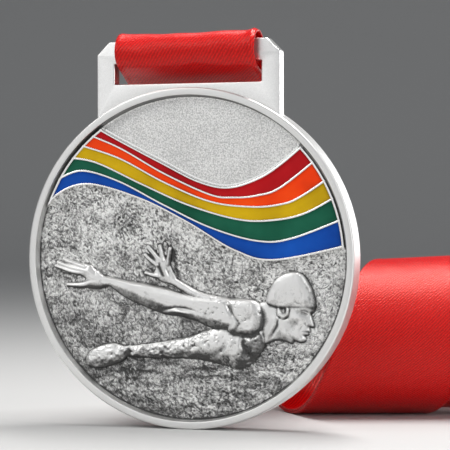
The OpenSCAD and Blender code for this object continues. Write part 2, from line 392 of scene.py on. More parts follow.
def makeCamera():
    turn, tip = math.radians(cameraView["turn"]), math.radians(cameraView["tip"])
    back = Vector((math.sin(turn) * math.cos(tip), -math.cos(turn) * math.cos(tip), math.sin(tip)))
    right = Vector((math.cos(turn), math.sin(turn), 0))
    up = back.cross(right)
    data = bpy.data.cameras.new("view")
    data.lens = cameraView["lens"]
    data.sensor_width = 36
    data.clip_start, data.clip_end = 0.01, 20
    camera = placed("view", data)
    camera.location = faceCentre + (right * cameraView["right"] + up * cameraView["up"]
                                    + back * cameraView["away"]) * mm
    camera.rotation_euler = back.to_track_quat("Z", "Y").to_euler()
    camera.rotation_euler.rotate_axis("Z", math.radians(-cameraView["roll"]))
    bpy.context.scene.camera = camera


def makeLights():
    for name, (place, size, watts, colour) in lights.items():
        data = bpy.data.lights.new(name, "AREA")
        data.shape = "RECTANGLE"
        data.size, data.size_y = size[0] * mm, size[1] * mm
        data.energy = watts
        data.color = colour
        lamp = placed(name, data)
        lamp.visible_camera = False
        lamp.location = faceCentre + Vector(place) * mm
        lamp.rotation_euler = (faceCentre - lamp.location).to_track_quat("-Z", "Y").to_euler()
    world = bpy.data.worlds.new("room")
    world.use_nodes = True
    background = world.node_tree.nodes["Background"]
    background.inputs["Color"].default_value = roomValues["colour"]
    background.inputs["Strength"].default_value = roomValues["strength"]
    bpy.context.scene.world = world
    bpy.context.scene.view_settings.view_transform = "Standard"


def makeFloor():  # a floor that curves up into a backdrop
    v = floorValues
    angles = np.radians(np.linspace(0, 90, 13))
    bend = np.stack([v["bendStart"] + v["bend"] * np.sin(angles), v["bend"] - v["bend"] * np.cos(angles)], -1)
    profile = [(-v["size"], 0), *bend, (v["bendStart"] + v["bend"], v["rise"])]
    points = [(x, y, z) for x in (-v["size"], v["size"]) for y, z in profile]
    n = len(profile)
    floor = meshPiece("floor", points, [(i, i + n, i + n + 1, i + 1) for i in range(n - 1)], sharpAngle=0)
    m = NodeMaterial("paleFloor")
    m.shade(Base_Color=v["colour"], Roughness=0.8)
    addMaterial(floor, m.material)


makeCamera()
makeLights()
makeFloor()
print("camera, lights and floor made")


def arcLengths(p):
    return np.concatenate([[0], np.cumsum(np.hypot(*np.diff(p, axis=0).T))])


def pickAlong(p, where):  # points at the given lengths along a line
    s = arcLengths(p)
    return np.stack([np.interp(where, s, p[:, 0]), np.interp(where, s, p[:, 1])], -1)


def beside(p, distance):  # positive to the left of the direction of travel
    g = np.gradient(p, axis=0)
    g /= np.hypot(*g.T)[:, None]
    return p + np.stack([-g[:, 1], g[:, 0]], -1) * distance


def crossings(p, radius):  # lengths at which a line enters and leaves a circle
    s, r = arcLengths(p), np.hypot(*p.T)
    within = np.flatnonzero(r < radius)
    a, b = within[0], within[-1]
    enter = s[a] if a == 0 else np.interp(radius, [r[a], r[a - 1]], [s[a], s[a - 1]])
    leave = s[b] if b == len(p) - 1 else np.interp(radius, [r[b], r[b + 1]], [s[b], s[b + 1]])
    return enter, leave


def rowInCircle(p, endRadii, columns):  # one row of points whose ends step over the given radii
    first = [crossings(p, r)[0] for r in endRadii]
    last = [crossings(p, r)[1] for r in endRadii][::-1]
    middle = np.linspace(first[-1], last[0], columns - 2 * len(endRadii) + 2)[1:-1]
    return pickAlong(p, np.concatenate([first, middle, last]))


def filleted(corners, steps=6):  # open profile: (x, y, fillet radius) at every corner
    out = [corners[0][:2]]
    for (ax, ay, _), (bx, by, r), (cx, cy, _) in zip(corners, corners[1:], corners[2:]):
        b = np.array([bx, by])
        u, v = np.array([ax, ay]) - b, np.array([cx, cy]) - b
        lu, lv = np.hypot(*u), np.hypot(*v)
        u, v = u / lu, v / lv
        half = math.acos(max(-1, min(1, float(u @ v)))) / 2
        reach = min(r / math.tan(half), 0.48 * lu, 0.48 * lv) if r else 0
        if not reach:
            out.append((bx, by))
            continue
        centre = b + (u + v) / np.linalg.norm(u + v) * (reach / math.cos(half))
        p, q = b + u * reach - centre, b + v * reach - centre
        for t in np.linspace(0, 1, steps):
            d = p * math.sin((1 - t) * (math.pi - 2 * half)) + q * math.sin(t * (math.pi - 2 * half))
            out.append(tuple(centre + d / math.sin(math.pi - 2 * half)))
    return out + [corners[-1][:2]]


discValues = {"radius": 35.0, "thick": 5.9, "sink": 33.5, "draft": 0.45, "floor": -2.1, "backRim": 2.7,
              "backSink": 0.5, "outerRound": 0.42, "innerRound": 0.2, "turns": 512,
              "innerWallShade": (0.16, 0.58), "backWear": 0.66}  # tones: painted shade on the inner wall and how much lighter its lower part is painted, then the back field's own tone


def makeDisc():
    v = discValues
    r, t, o, n = v["radius"], v["thick"], v["outerRound"], v["innerRound"]
    inner = r - v["backRim"]
    profile = filleted([(0.001, v["floor"], 0), (v["sink"] - v["draft"], v["floor"], 0.15), (v["sink"], 0, n),
                        (r, 0, o), (r + 0.03, -t / 2, 20), (r, -t, o), (inner, -t, n),
                        (inner - v["backSink"], -t + v["backSink"], 0.35), (0.001, -t + v["backSink"], 0)])
    angles = np.linspace(0, 2 * math.pi, v["turns"], endpoint=False)
    rows = [onFace(x * np.cos(angles), x * np.sin(angles), w) for x, w in profile]
    count = len(angles)
    faces = gridFaces(len(rows), count, wrapColumns=True).tolist()
    faces += [range(count), range(len(rows) * count - 1, (len(rows) - 1) * count - 1, -1)]
    disc = meshPiece("disc_mesh", np.concatenate(rows), faces)
    dark, lowerWallLight = v["innerWallShade"]
    wall = dark + lowerWallLight * blend(0.35, -0.25, np.sin(angles + 0.5))  # painted shade: the inner wall is dark at the top and painted lighter on the lower wall, which faces up
    shade = []
    for x, w in profile:
        wear = np.ones(count)
        if v["floor"] + 0.05 < w < -0.12 and x < v["sink"] - 0.02:
            wear = wall
        # the back's sunk wall takes the same painted shade, the back field its own tone
        elif w < 0.8 - t and x < inner - 0.05:
            wear = np.full(count, dark if x > inner - 0.45 else v["backWear"])
        shade.append(wear)
    giveAttribute(disc, "raised", np.concatenate(shade))
    outward(disc)
    return finishPiece(disc, metals["rim"], "medal", "satin_metal", "disc")


makeDisc()

hangerValues = {"halfWidth": 19.7, "low": 24.0, "top": 44.65, "chamfer": 2.7, "front": -0.45, "back": -3.45,
                "slotHalf": 15.75, "slotLow": 35.85, "slotHigh": 40.15, "edge": 0.28, "discRadius": 34.6}


def platePiece(name, outlines, front, back, edge):  # flat plate with rounded edges and holes
    curve = bpy.data.curves.new(name, "CURVE")
    curve.dimensions, curve.fill_mode = "2D", "BOTH"
    curve.extrude = (front - back) / 2 * mm - edge * mm
    curve.bevel_depth, curve.offset, curve.bevel_resolution = edge * mm, -edge * mm, 3
    for outline in outlines:
        spline = curve.splines.new("POLY")
        spline.points.add(len(outline) - 1)
        spline.use_cyclic_u = True
        for point, (x, y) in zip(spline.points, outline):
            point.co = (x * mm, y * mm, 0, 1)
    mesh = applied(placed(name + "_source", curve))
    bm = bmesh.new()
    bm.from_mesh(mesh)
    bmesh.ops.remove_doubles(bm, verts=bm.verts, dist=1e-6)
    for vertex in bm.verts:
        x, y, z = vertex.co / mm
        vertex.co = onFace(x, y, (front + back) / 2 + z)
    bmesh.ops.recalc_face_normals(bm, faces=bm.faces)
    bm.to_mesh(mesh)
    bm.free()
    return smoothed(placed(name, mesh), 30)


def roundCorners(corners, radius, steps=6):  # closed outline
    loop = [(*c, radius) for c in corners]
    return filleted([loop[-1]] + loop + [loop[0]], steps)[1:-1]


def makeHanger():
    v = hangerValues
    w, c, top, low, r = v["halfWidth"], v["chamfer"], v["top"], v["low"], v["discRadius"]
    lower = math.atan2(low + 1.5, w)
    arc = [(r * math.cos(a), r * math.sin(a)) for a in np.linspace(lower, math.pi - lower, 90)]
    upper = roundCorners([(-w, low), (-w, top - c), (c - w, top), (w - c, top), (w, top - c), (w, low)], 0.5)
    upper = [p for p in upper if p[1] > low + 4]  # the plate's foot follows the disc instead
    foot = math.sqrt(r * r - w * w)
    outline = [(w, foot)] + [p for p in arc if abs(p[0]) < w - 0.05] + [(-w, foot)] + upper
    s, slotLow, slotHigh = v["slotHalf"], v["slotLow"], v["slotHigh"]
    slot = roundCorners([(-s, slotLow), (s, slotLow), (s, slotHigh), (-s, slotHigh)], 0.25)
    hanger = platePiece("hanger_mesh", [outline, slot], v["front"], v["back"], v["edge"])
    return finishPiece(hanger, metals["satin"], "medal", "satin_metal", "ribbon_hanger")


hanger = makeHanger()
print("disc and hanger made")

bandValues = {"field": -1.8, "floor": -2.1, "wallTop": -0.8, "enamelTop": -0.96, "pocket": -1.5, "wall": 0.42,
              "panelRadius": 32.9, "enamelRadius": 32.35, "columns": 300}
# distance from a wall's line, share of its height
wallShape = [(-0.29, 0), (-0.255, 0.42), (-0.215, 0.78), (-0.165, 0.95), (-0.09, 1), (0, 1), (0.09, 1),
             (0.165, 0.95), (0.215, 0.78), (0.255, 0.42), (0.29, 0)]
endShape = [(32.93, 0), (32.90, 0.55), (32.86, 0.9), (32.78, 1), (32.62, 1), (32.47, 1), (32.40, 0.95),
            (32.36, 0.78), (32.32, 0.42), (32.28, 0)]  # radius on the face, share of the end wall's height
stepShape = [(0.58, 0.22), (0.50, 0.34), (0.24, 0.34), (0.14, 0.16), (0.07, 0.2)]  # outside the upper wall
waveKnots = [
    [(-21, 27.8), (-15.2, 24.6), (-5.2, 19.5), (2.2, 15.9), (8.5, 14.6), (14.7, 16.3), (19.8, 19.4),
     (27, 25.3)],
    [(-24.5, 26.6), (-15.2, 22.9), (-5.2, 17.4), (4.8, 13), (9.9, 12.4), (14.8, 12.8), (19.8, 14.5),
     (29, 21.5)],
    [(-25, 23.8), (-15.2, 20.7), (-5.2, 15.6), (4.8, 11.6), (13.6, 10.5), (19.8, 11), (24, 12.6),
     (32, 17.8)],
    [(-27, 20.9), (-20.2, 19.8), (-10.2, 15.3), (-0.2, 11), (9.9, 8.1), (17, 7.7), (24.8, 9.2),
     (34, 14.2)],
    [(-29, 16.2), (-23.3, 18.1), (-15.2, 15.9), (-5.2, 10.9), (4.8, 6.3), (14.8, 3.6), (22.3, 4.2),
     (35, 9)],
    [(-33, 8.2), (-28.5, 13.2), (-21.5, 15.1), (-10.2, 12), (-0.2, 7.2), (9.9, 1.5), (18.8, -0.4),
     (36, 3.1)]]
waves = []  # the lines between the colours, from the upper edge to the lower edge
for knots in waveKnots:
    path = smoothPath(knots, 40)
    waves.append(pickAlong(path, np.linspace(0, arcLengths(path)[-1], 600)))


def closeBelow(name, top, floorW, sharpAngle=35):  # height grid closed by walls and a flat underside
    rows, columns = top.shape[:2]
    points = onFace(top[..., 0], top[..., 1], top[..., 2]).reshape(-1, 3)
    index = np.arange(rows * columns).reshape(rows, columns)
    edge = np.concatenate([index[0], index[1:, -1], index[-1, -2::-1], index[-2:0:-1, 0]])
    ring = top.reshape(-1, 3)[edge]
    base = len(points)
    points = np.vstack([points, onFace(ring[:, 0], ring[:, 1], floorW)])
    faces = gridFaces(rows, columns).tolist()
    n = len(edge)
    faces += [(edge[(i + 1) % n], edge[i], base + i, base + (i + 1) % n) for i in range(n)]
    faces.append(tuple(range(base, base + n)))
    return outward(meshPiece(name, points, faces, sharpAngle))


def makeBandFrame():
    v = bandValues
    pocket, wallTop, lowOut = v["pocket"], v["wallTop"], v["floor"] + 0.02
    last = len(waves) - 1
    rows = [(beside(waves[0], 0.62), lowOut)]  # (line, height)
    rows += [(beside(waves[0], distance), v["field"] + rise) for distance, rise in stepShape]
    for k, line in enumerate(waves):
        shift = {0: -v["wall"] / 2, last: v["wall"] / 2}.get(k, 0)  # the outer walls lie inside their lines
        for offset, share in wallShape:
            d = -offset  # rows run downwards, which is to the right of the line's direction
            low = pocket
            if (k == 0 and d > 0.2) or (k == last and d < -0.2):
                low = v["field"] - 0.1
            if k == last and d <= -0.28:
                low = lowOut
            rows.append((beside(line, shift + d), low + (wallTop - low) * share))
        if k < last:
            rows.append(((line + waves[k + 1]) / 2, pocket))
    radii, shares = np.array(endShape).T
    top = []
    for line, height in rows:
        cap = np.maximum(height, pocket + (wallTop - pocket) * shares)
        cap[:2] = lowOut, min(cap[1], wallTop - 0.3)
        if height < pocket - 0.05:  # outside the band the end wall stays below the field
            cap[:] = height
        heights = np.full(v["columns"], height)
        heights[:len(cap)], heights[-len(cap):] = cap, cap[::-1]
        top.append(np.column_stack([rowInCircle(line, radii, v["columns"]), heights]))
    frame = closeBelow("band_frame_mesh", np.array(top), v["floor"])
    return finishPiece(frame, metals["wall"], "medal", "bright_wall_metal", "band_frame")


def makeEnamel(index, colour):
    v = bandValues
    upIn = v["wall"] if index == 0 else v["wall"] / 2
    downIn = v["wall"] if index == 4 else v["wall"] / 2
    upper, lower = beside(waves[index], 0.02 - upIn), beside(waves[index + 1], downIn - 0.02)
    edgeShares = np.array([0, 0.01, 0.03, 0.06, 0.11])
    shares = np.concatenate([edgeShares, np.linspace(0.18, 0.82, 9), 1 - edgeShares[::-1]])
    endRadii = [32.37, 32.33, 32.25, 32.12, 31.9]
    top = np.array([rowInCircle(upper * (1 - t) + lower * t, endRadii, 280) for t in shares])
    u, w = top[..., 0], top[..., 1]
    widths = np.hypot(*(top[-1] - top[0]).T)[None, :]
    inRow = np.minimum(shares, 1 - shares)[:, None] * widths
    inEnd = endRadii[0] - np.hypot(u, w)
    near = np.minimum(inRow, inEnd)
    climb = np.exp(-near / 0.16)  # the enamel creeps up its walls
    wave = layeredNoise(u * 0.55, w * 0.55, 40 + index, 2)
    height = v["enamelTop"] - 0.05 + 0.13 * climb + 0.012 * wave * (1 - climb)
    piece = closeBelow(colour + "_enamel_mesh", np.dstack([u, w, height]), v["pocket"] - 0.05, sharpAngle=60)
    edge = np.concatenate([np.exp(-near / 0.22).ravel(), np.zeros(len(piece.data.vertices) - near.size)])
    giveAttribute(piece, "edge", edge)
    return finishPiece(piece, enamelMaterial(colour), "medal", colour + "_enamel", "enamel_" + colour)


makeBandFrame()
for k, colour in enumerate(enamelLook):
    makeEnamel(k, colour)
print("band and enamel made")

fieldValues = {"level": -1.8, "floor": -2.12, "radius": 33.1, "fillet": 0.3}


def wallFillet(u, v):  # small rise where the field meets the rim's wall
    r = fieldValues["radius"]
    return 0.16 * blend(r - fieldValues["fillet"], r, np.hypot(u, v))


def fieldGrid(line, below, rows, columns, grow):  # rows from a line of the band out to the rim
    r = fieldValues["radius"]
    edge = beside(line, grow)
    enter, leave = crossings(edge, r)
    along = pickAlong(edge, np.linspace(enter, leave, columns))
    a, b = math.atan2(along[0, 1], along[0, 0]), math.atan2(along[-1, 1], along[-1, 0])
    if below and a > 0:
        a -= 2 * math.pi
    angles = np.linspace(a, b, columns)
    arc = np.stack([r * np.cos(angles), r * np.sin(angles)], -1)
    t = np.linspace(0, 1, rows)[:, None, None]
    return along[None] * (1 - t) + arc[None] * t


def makeUpperField():
    g = fieldGrid(waves[0], False, 150, 420, -0.3)[::-1]
    u, v = g[..., 0], g[..., 1]
    grain = 0.016 * layeredNoise(u * 2.6, v * 2.6, 71, 2, 0.7)
    piece = closeBelow("upper_field_mesh", np.dstack([u, v, fieldValues["level"] + grain + wallFillet(u, v)]),
                       fieldValues["floor"], sharpAngle=0)
    return finishPiece(piece, metals["sand"], "medal", "sandblasted_metal", "upper_field")


def waterHeight(u, v):  # crumpled cast water: short broken ripples that lie flatter towards the bottom
    warpU = 0.30 * layeredNoise(u * 0.9, v * 0.9, 201, 2)
    warpV = 0.30 * layeredNoise(u * 0.9, v * 0.9, 231, 2)
    low = blend(-13, -23, v)
    x, y = u + warpU, v + warpV
    ridged = 1 - 2 * np.abs(layeredNoise(x * (1.5 - 0.5 * low), y * (1.7 + 0.5 * low), 251, 2, 0.7))
    crumple = layeredNoise(x * 2.3, y * 2.6, 281, 2, 0.7)
    cracks = -np.clip(1 - np.abs(layeredNoise(x * 0.36, y * 0.42, 311, 3, 0.65)) * 12, 0, 1)
    streaks = valueNoise(u * 0.24 + 3, v * 1.15 + 0.6 * warpV, 331)
    swell = layeredNoise(u * 0.22, v * 0.30, 371, 2)
    rough = 0.85 + 0.35 * valueNoise(u * 0.14, v * 0.14, 351) + 0.3 * blend(2, -12, u) * blend(0, 6, v)
    return rough * (0.040 * ridged + 0.056 * crumple + 0.11 * cracks) + 0.08 * streaks * low + 0.07 * swell


def spread(height, kernel):  # grid averaged both ways with the kernel's weights
    reach, weights = len(kernel) // 2, kernel / kernel.sum()

    def average(row):
        return np.convolve(np.pad(row, reach, "edge"), weights, "valid")

    for axis in (0, 1):
        height = np.apply_along_axis(average, axis, height)
    return height


def figureAt(u, v):  # height of the swimmer's relief over any point of the face
    lowU, lowV = swimmerValues["low"]
    i = np.clip((u + figureShift - lowU) / cell, 0, swimU.shape[1] - 1).astype(int)
    j = np.clip((v - lowV) / cell, 0, swimU.shape[0] - 1).astype(int)
    return figureHeight[j, i]


def makeWaterField():
    g = fieldGrid(waves[5], True, 228, 410, 0.3)
    u, v = g[..., 0], g[..., 1]
    h = waterHeight(u, v)
    calm = blend(33.1, 32.2, np.hypot(u, v))
    surface = fieldValues["level"] + h * (0.3 + 0.7 * calm) + wallFillet(u, v)
    piece = closeBelow("water_field_mesh", np.dstack([u, v, surface]), fieldValues["floor"], sharpAngle=0)
    local = spread(h, np.hanning(13)[1:-1])
    near = np.clip((figureAt(u, v) + 1.0) / 1.2, 0, 1)  # darker round the figure: patina, and painted shade where the water meets it
    cloud = layeredNoise(u * 0.16 + 5, v * 0.26, 391, 2)
    raised = 0.60 + 4.0 * (h - local) + 1.8 * local + 0.07 * cloud - 0.34 * near ** 2
    # painted shade: the water is painted darker towards the bottom and towards the lower left
    raised -= 0.14 * blend(0, -12, v) * blend(16, -6, u) + 0.12 * blend(-12, -20, v)
    raised -= 0.42 * near * blend(4.6, 3.0, np.hypot(u + 6.0, v - 0.2))  # painted shade between the far hand's fingers
    # painted shade in the gap beside the far hand's thumb
    thumbGap = np.exp(-((u + 3.35 - 0.22 * np.clip(-v, 0, 4)) / 0.42) ** 2)
    raised -= 0.65 * thumbGap * blend(2.2, 1.2, v) * blend(-4.4, -3.2, v)
    # painted shade: a dark line where the water meets the rim's wall
    raised -= 0.45 * blend(32.7, 33.0, np.hypot(u, v))
    hidden = np.full(len(piece.data.vertices) - h.size, 0.5)
    giveAttribute(piece, "raised", np.concatenate([raised.ravel(), hidden]))
    return finishPiece(piece, metals["water"], "medal", "cast_water_metal", "water_field")


# The swimmer is a grid of heights in millimetres above the water's level
swimmerValues = {"low": (-31.0, -24.5), "high": (29.8, 4.6), "cell": 0.105, "keep": -0.22, "shift": 0.42}
cell, figureShift, nowhere = swimmerValues["cell"], swimmerValues["shift"], -5.0
spans = zip(swimmerValues["low"], swimmerValues["high"])
swimU, swimV = np.meshgrid(*(np.arange(a, b, cell) for a, b in spans))


def toSegment(px, py, start, end):  # share of a segment at its nearest point, and distance squared
    (x0, y0), (x1, y1) = start, end
    dx, dy = x1 - x0, y1 - y0
    t = np.clip(((px - x0) * dx + (py - y0) * dy) / (dx * dx + dy * dy + 1e-12), 0, 1)
    return t, (px - x0 - t * dx) ** 2 + (py - y0 - t * dy) ** 2


def signedDistance(px, py, outline):  # positive inside
    best, odd = np.full(px.shape, 1e9), np.zeros(px.shape, bool)
    for start, end in zip(outline, np.roll(outline, -1, 0)):
        best = np.minimum(best, toSegment(px, py, start, end)[1])
        (x0, y0), (x1, y1) = start, end
        odd ^= ((y0 > py) != (y1 > py)) & (px < (x1 - x0) * (py - y0) / (y1 - y0 + 1e-12) + x0)
    return np.sqrt(best) * np.where(odd, 1, -1)


def nearPart(points, margin):  # slice of the grid round some points
    p = np.asarray(points, float)
    lo, hi = p.min(0) - margin, p.max(0) + margin
    i = np.clip(((lo - swimmerValues["low"]) / cell).astype(int), 0, None)
    j = ((hi - swimmerValues["low"]) / cell).astype(int) + 2
    return slice(i[1], j[1]), slice(i[0], j[0])


def mound(outline, edge, rise, width, steep=3.2, fine=5):  # domed height over a closed outline
    loop = closedPath(outline, fine)
    area = nearPart(loop, 1.2)
    height = np.full(swimU.shape, nowhere)
    d = signedDistance(swimU[area], swimV[area], loop)
    t = np.clip(d / width, 0, 1)
    height[area] = np.where(d < 0, edge + d * steep, edge + rise * np.sqrt(1 - (1 - t) ** 2))
    return height


def insideOf(outline, soft=0.25, fine=5):  # 1 inside a closed outline, 0 outside
    loop = closedPath(outline, fine)
    area = nearPart(loop, 1.2)
    mask = np.zeros(swimU.shape)
    mask[area] = blend(-soft, soft, signedDistance(swimU[area], swimV[area], loop))
    return mask


def stroke(height, path, width, lift, taper=True, steps=6):  # soft ridge, or groove where lift is negative
    line = smoothPath(path, steps)
    area = nearPart(line, 3 * width)
    px, py = swimU[area], swimV[area]
    best, share = np.full(px.shape, 1e9), np.zeros(px.shape)
    s = arcLengths(line)
    for k in range(len(line) - 1):
        t, d = toSegment(px, py, line[k], line[k + 1])
        closer = d < best
        best = np.where(closer, d, best)
        share = np.where(closer, (s[k] + t * (s[k + 1] - s[k])) / s[-1], share)
    fade = np.sqrt(np.clip(np.sin(np.pi * np.clip(share, 0.02, 0.98)), 0, 1)) if taper else 1
    height[area] += lift * fade * np.exp(-best / width ** 2)


def carve(height, rows, taper=True):  # strokes given as path, width, lift
    for path, width, lift in rows:
        stroke(height, path, width, lift, taper)


def tube(points, radii, high, base=0.0):  # rounded limb along a path, radius and height varying along it
    line, r, h = (smoothPath(knots, 8) for knots in (points, [(x, 0) for x in radii], [(x, 0) for x in high]))
    area = nearPart(line, max(radii) + 0.8)
    best = np.full(swimU[area].shape, nowhere)
    for k in range(len(line) - 1):
        t, d = toSegment(swimU[area], swimV[area], line[k], line[k + 1])
        d = np.sqrt(d)
        radius, tall = (rows[k, 0] + t * (rows[k + 1, 0] - rows[k, 0]) for rows in (r, h))
        dome = tall * np.sqrt(np.clip(1 - (d / radius) ** 2, 0, 1))
        best = np.maximum(best, base + np.where(d < radius, dome, -(d - radius) * 3.2))
    height = np.full(swimU.shape, nowhere)
    height[area] = best
    return height


def softMax(a, b, soft):  # the higher of two heights, with a soft valley where they meet
    gap = np.clip(soft - np.abs(a - b), 0, None) / soft
    return np.maximum(a, b) + gap * gap * soft * 0.25


def blurred(height, sigma):
    reach = int(3 * sigma / cell)
    return spread(height, np.exp(-0.5 * (np.arange(-reach, reach + 1) * cell / sigma) ** 2))


def lineSide(line):  # distance from a line over the whole grid, positive above it
    line = smoothPath(line, 5)
    best, side = np.full(swimU.shape, 1e9), np.zeros(swimU.shape)
    for start, end in zip(line, line[1:]):
        d = toSegment(swimU, swimV, start, end)[1]
        (x0, y0), (x1, y1) = start, end
        above = np.sign((swimV - y0) * (x1 - x0) - (swimU - x0) * (y1 - y0))
        best, side = np.minimum(best, d), np.where(d < best, above, side)
    return np.sqrt(best) * side


relief = {  # outlines of the figure's parts, and the ridge along the near arm
    "nearArm": [(-19.9, -2.6), (-18.3, -3.7), (-16.4, -4.1), (-12.3, -4.9), (-8.8, -5.4), (-4.6, -6.3),
                (-1.1, -7.2), (2, -7.7), (4.8, -8), (7.3, -8.2), (8.8, -9), (9.4, -10.2), (10.4, -11.6),
                (11, -12.9), (10.7, -13.9), (9.6, -14.7), (7.4, -14.8), (4.2, -13.9), (2, -12.9),
                (-1.5, -12), (-4.6, -11.6), (-6.7, -11), (-9.5, -9.9), (-12.2, -8.9), (-14.7, -7.5),
                (-16, -6.6), (-17.3, -5.9), (-19.6, -6.3)],
    "armRidge": [(-21, -6.1), (-17, -5.3), (-14.5, -6.0), (-12, -6.9), (-8.5, -8.3), (-4, -9.8),
                 (0, -11.2), (4, -12.1), (8, -12.9), (11.5, -13.6)],
    "palm": [(-18.6, -3.6), (-20.3, -2.3), (-21.3, -1.5), (-23, -1.5), (-24.3, -1.9), (-24.6, -3.0),
             (-23.2, -3.9), (-22.3, -4.5), (-22.9, -5.3), (-22.4, -6.2), (-19.5, -6.4), (-17.8, -5.7)],
    "shoulder": [(8.6, -8.5), (11.5, -8.2), (13.5, -8.3), (15.1, -8.8), (16.2, -9.9), (16.6, -11.9),
                 (16.3, -13.8), (15.4, -15.1), (14.1, -15.9), (11.9, -15.8), (9.4, -15.5), (8.6, -14.2),
                 (9.2, -11)],
    "torso": [(-4.5, -17.6), (-1, -16.6), (2, -15.6), (4.5, -14.6), (9, -14), (13, -14.6), (16.3, -14.3),
              (16.7, -16.3), (16.3, -18.2), (15.5, -19.4), (14.3, -21.1), (12.9, -22.3), (10.6, -22.6),
              (8.3, -22.1), (5.8, -21.5), (3.2, -20.8), (0, -20.5), (-4.5, -20.4)],
    "neck": [(15.4, -9.3), (16.6, -8.8), (18.2, -9.2), (20.5, -10), (22.6, -12), (23, -15), (22.4, -17.2),
             (21.2, -16.85), (19.9, -16.55), (18.4, -16.65), (16.8, -17.3), (16.2, -16.2), (15.6, -12)],
    "cap": [(17.5, -9.2), (16.95, -8.6), (17.15, -7.5), (17.7, -6.3), (18.45, -4.9), (19.7, -3.7),
            (21.2, -3.0), (22.8, -2.8), (24.3, -3.25), (25.5, -4.45), (26.4, -6.1), (26.95, -7.9),
            (27.1, -9.85), (26.3, -10.0), (24.2, -9.85), (22.2, -9.8), (20.2, -9.85), (18.7, -9.65)],
    "farPalm": [(-7.0, -1.4), (-6.5, -0.35), (-5.4, 0.1), (-4.5, -0.5), (-3.7, -1.6), (-3.1, -2.9),
                (-2.4, -4.2), (-3.0, -5.3), (-4.6, -5.2), (-5.9, -4.7), (-6.9, -3.9), (-7.2, -3.0),
                (-6.9, -2.3)],
    "foot": [(-22.3, -21.4), (-21.9, -20.2), (-20.4, -18.9), (-17.8, -18.0), (-15.3, -17.9),
             (-13.9, -18.6), (-13.1, -19.8), (-13.6, -21.0), (-15.4, -21.9), (-17.8, -22.7),
             (-20.2, -23.0), (-21.8, -22.6)],
}

# Calm generic profile of textbook proportions: outwards and downwards from the cap's front edge
faceProfile = [(-0.15, -0.4), (0, 0), (0.15, 0.8), (-0.35, 1.5), (-0.1, 2.1), (0.35, 2.8), (0.95, 3.7),
               (0.75, 4.0), (0.25, 4.15), (0.2, 4.5), (0.45, 4.85), (0.38, 5.1), (0.1, 5.22), (0.35, 5.45),
               (0.3, 5.75), (-0.1, 6.1), (0.1, 6.6), (0.1, 7.1), (-0.35, 7.6), (-1.6, 7.75), (-3.3, 7.3),
               (-4.9, 6.1), (-5.9, 4.6), (-6.6, 2.6), (-6.8, 0.6), (-6.0, -0.7), (-3.0, -1.0)]
faceStrokes = [  # path, width, lift
    ([(-6.1, 4.0), (-4.9, 5.6), (-3.3, 6.6), (-1.4, 7.1)], 0.5, 0.16),  # jaw
    ([(-5.1, 3.0), (-3.6, 3.1), (-2.2, 2.75), (-1.2, 2.6)], 0.65, 0.16),  # cheekbone
    ([(-4.6, 4.9), (-3.2, 4.7), (-2.0, 4.9)], 0.9, -0.12),  # hollow of the cheek
    ([(-3.0, 1.15), (-2.0, 0.85), (-1.0, 0.85), (-0.1, 1.0)], 0.42, 0.17),  # brow
    ([(-2.6, 1.85), (-1.7, 1.65), (-0.8, 1.75)], 0.55, -0.34),  # eye socket
    ([(-2.3, 1.8), (-1.6, 1.62), (-0.9, 1.72)], 0.30, 0.26),  # eyeball
    ([(-2.5, 1.72), (-1.7, 1.38), (-0.8, 1.55)], 0.11, 0.10),  # upper lid
    ([(-2.3, 1.72), (-1.6, 1.66), (-0.85, 1.74)], 0.08, -0.12),  # lash line
    ([(-0.5, 1.5), (-0.15, 2.4), (0.25, 3.1), (0.45, 3.6)], 0.34, 0.14),  # bridge of the nose
    ([(-0.62, 3.45), (-0.45, 3.75), (-0.1, 3.85)], 0.27, 0.16),  # wing of the nose
    ([(-0.95, 3.3), (-0.9, 3.75), (-0.55, 4.1)], 0.15, -0.20),  # crease behind the wing
    ([(-0.15, 4.02), (0.2, 4.0), (0.45, 3.92)], 0.13, -0.16),  # nostril
    ([(-1.1, 4.1), (-1.45, 4.7), (-1.5, 5.4)], 0.26, -0.10),  # smile line
    ([(-0.95, 5.05), (-0.3, 4.78), (0.3, 4.85)], 0.17, 0.12),  # upper lip
    ([(-1.05, 5.22), (-0.4, 5.2), (0.25, 5.2)], 0.09, -0.26),  # mouth line
    ([(-0.85, 5.5), (-0.25, 5.58), (0.2, 5.5)], 0.20, 0.12),  # lower lip
    ([(-0.8, 6.1), (-0.3, 6.15), (0, 6.1)], 0.24, -0.14),  # above the chin
    ([(-0.9, 6.9), (-0.4, 6.9)], 0.45, 0.10)]  # chin
faceTurn = math.radians(17)


def onHead(points):  # face coordinates to face of the medal
    c, s = math.cos(faceTurn), math.sin(faceTurn)
    return [(27.0 + x * c - y * s, -9.8 - x * s - y * c) for x, y in points]


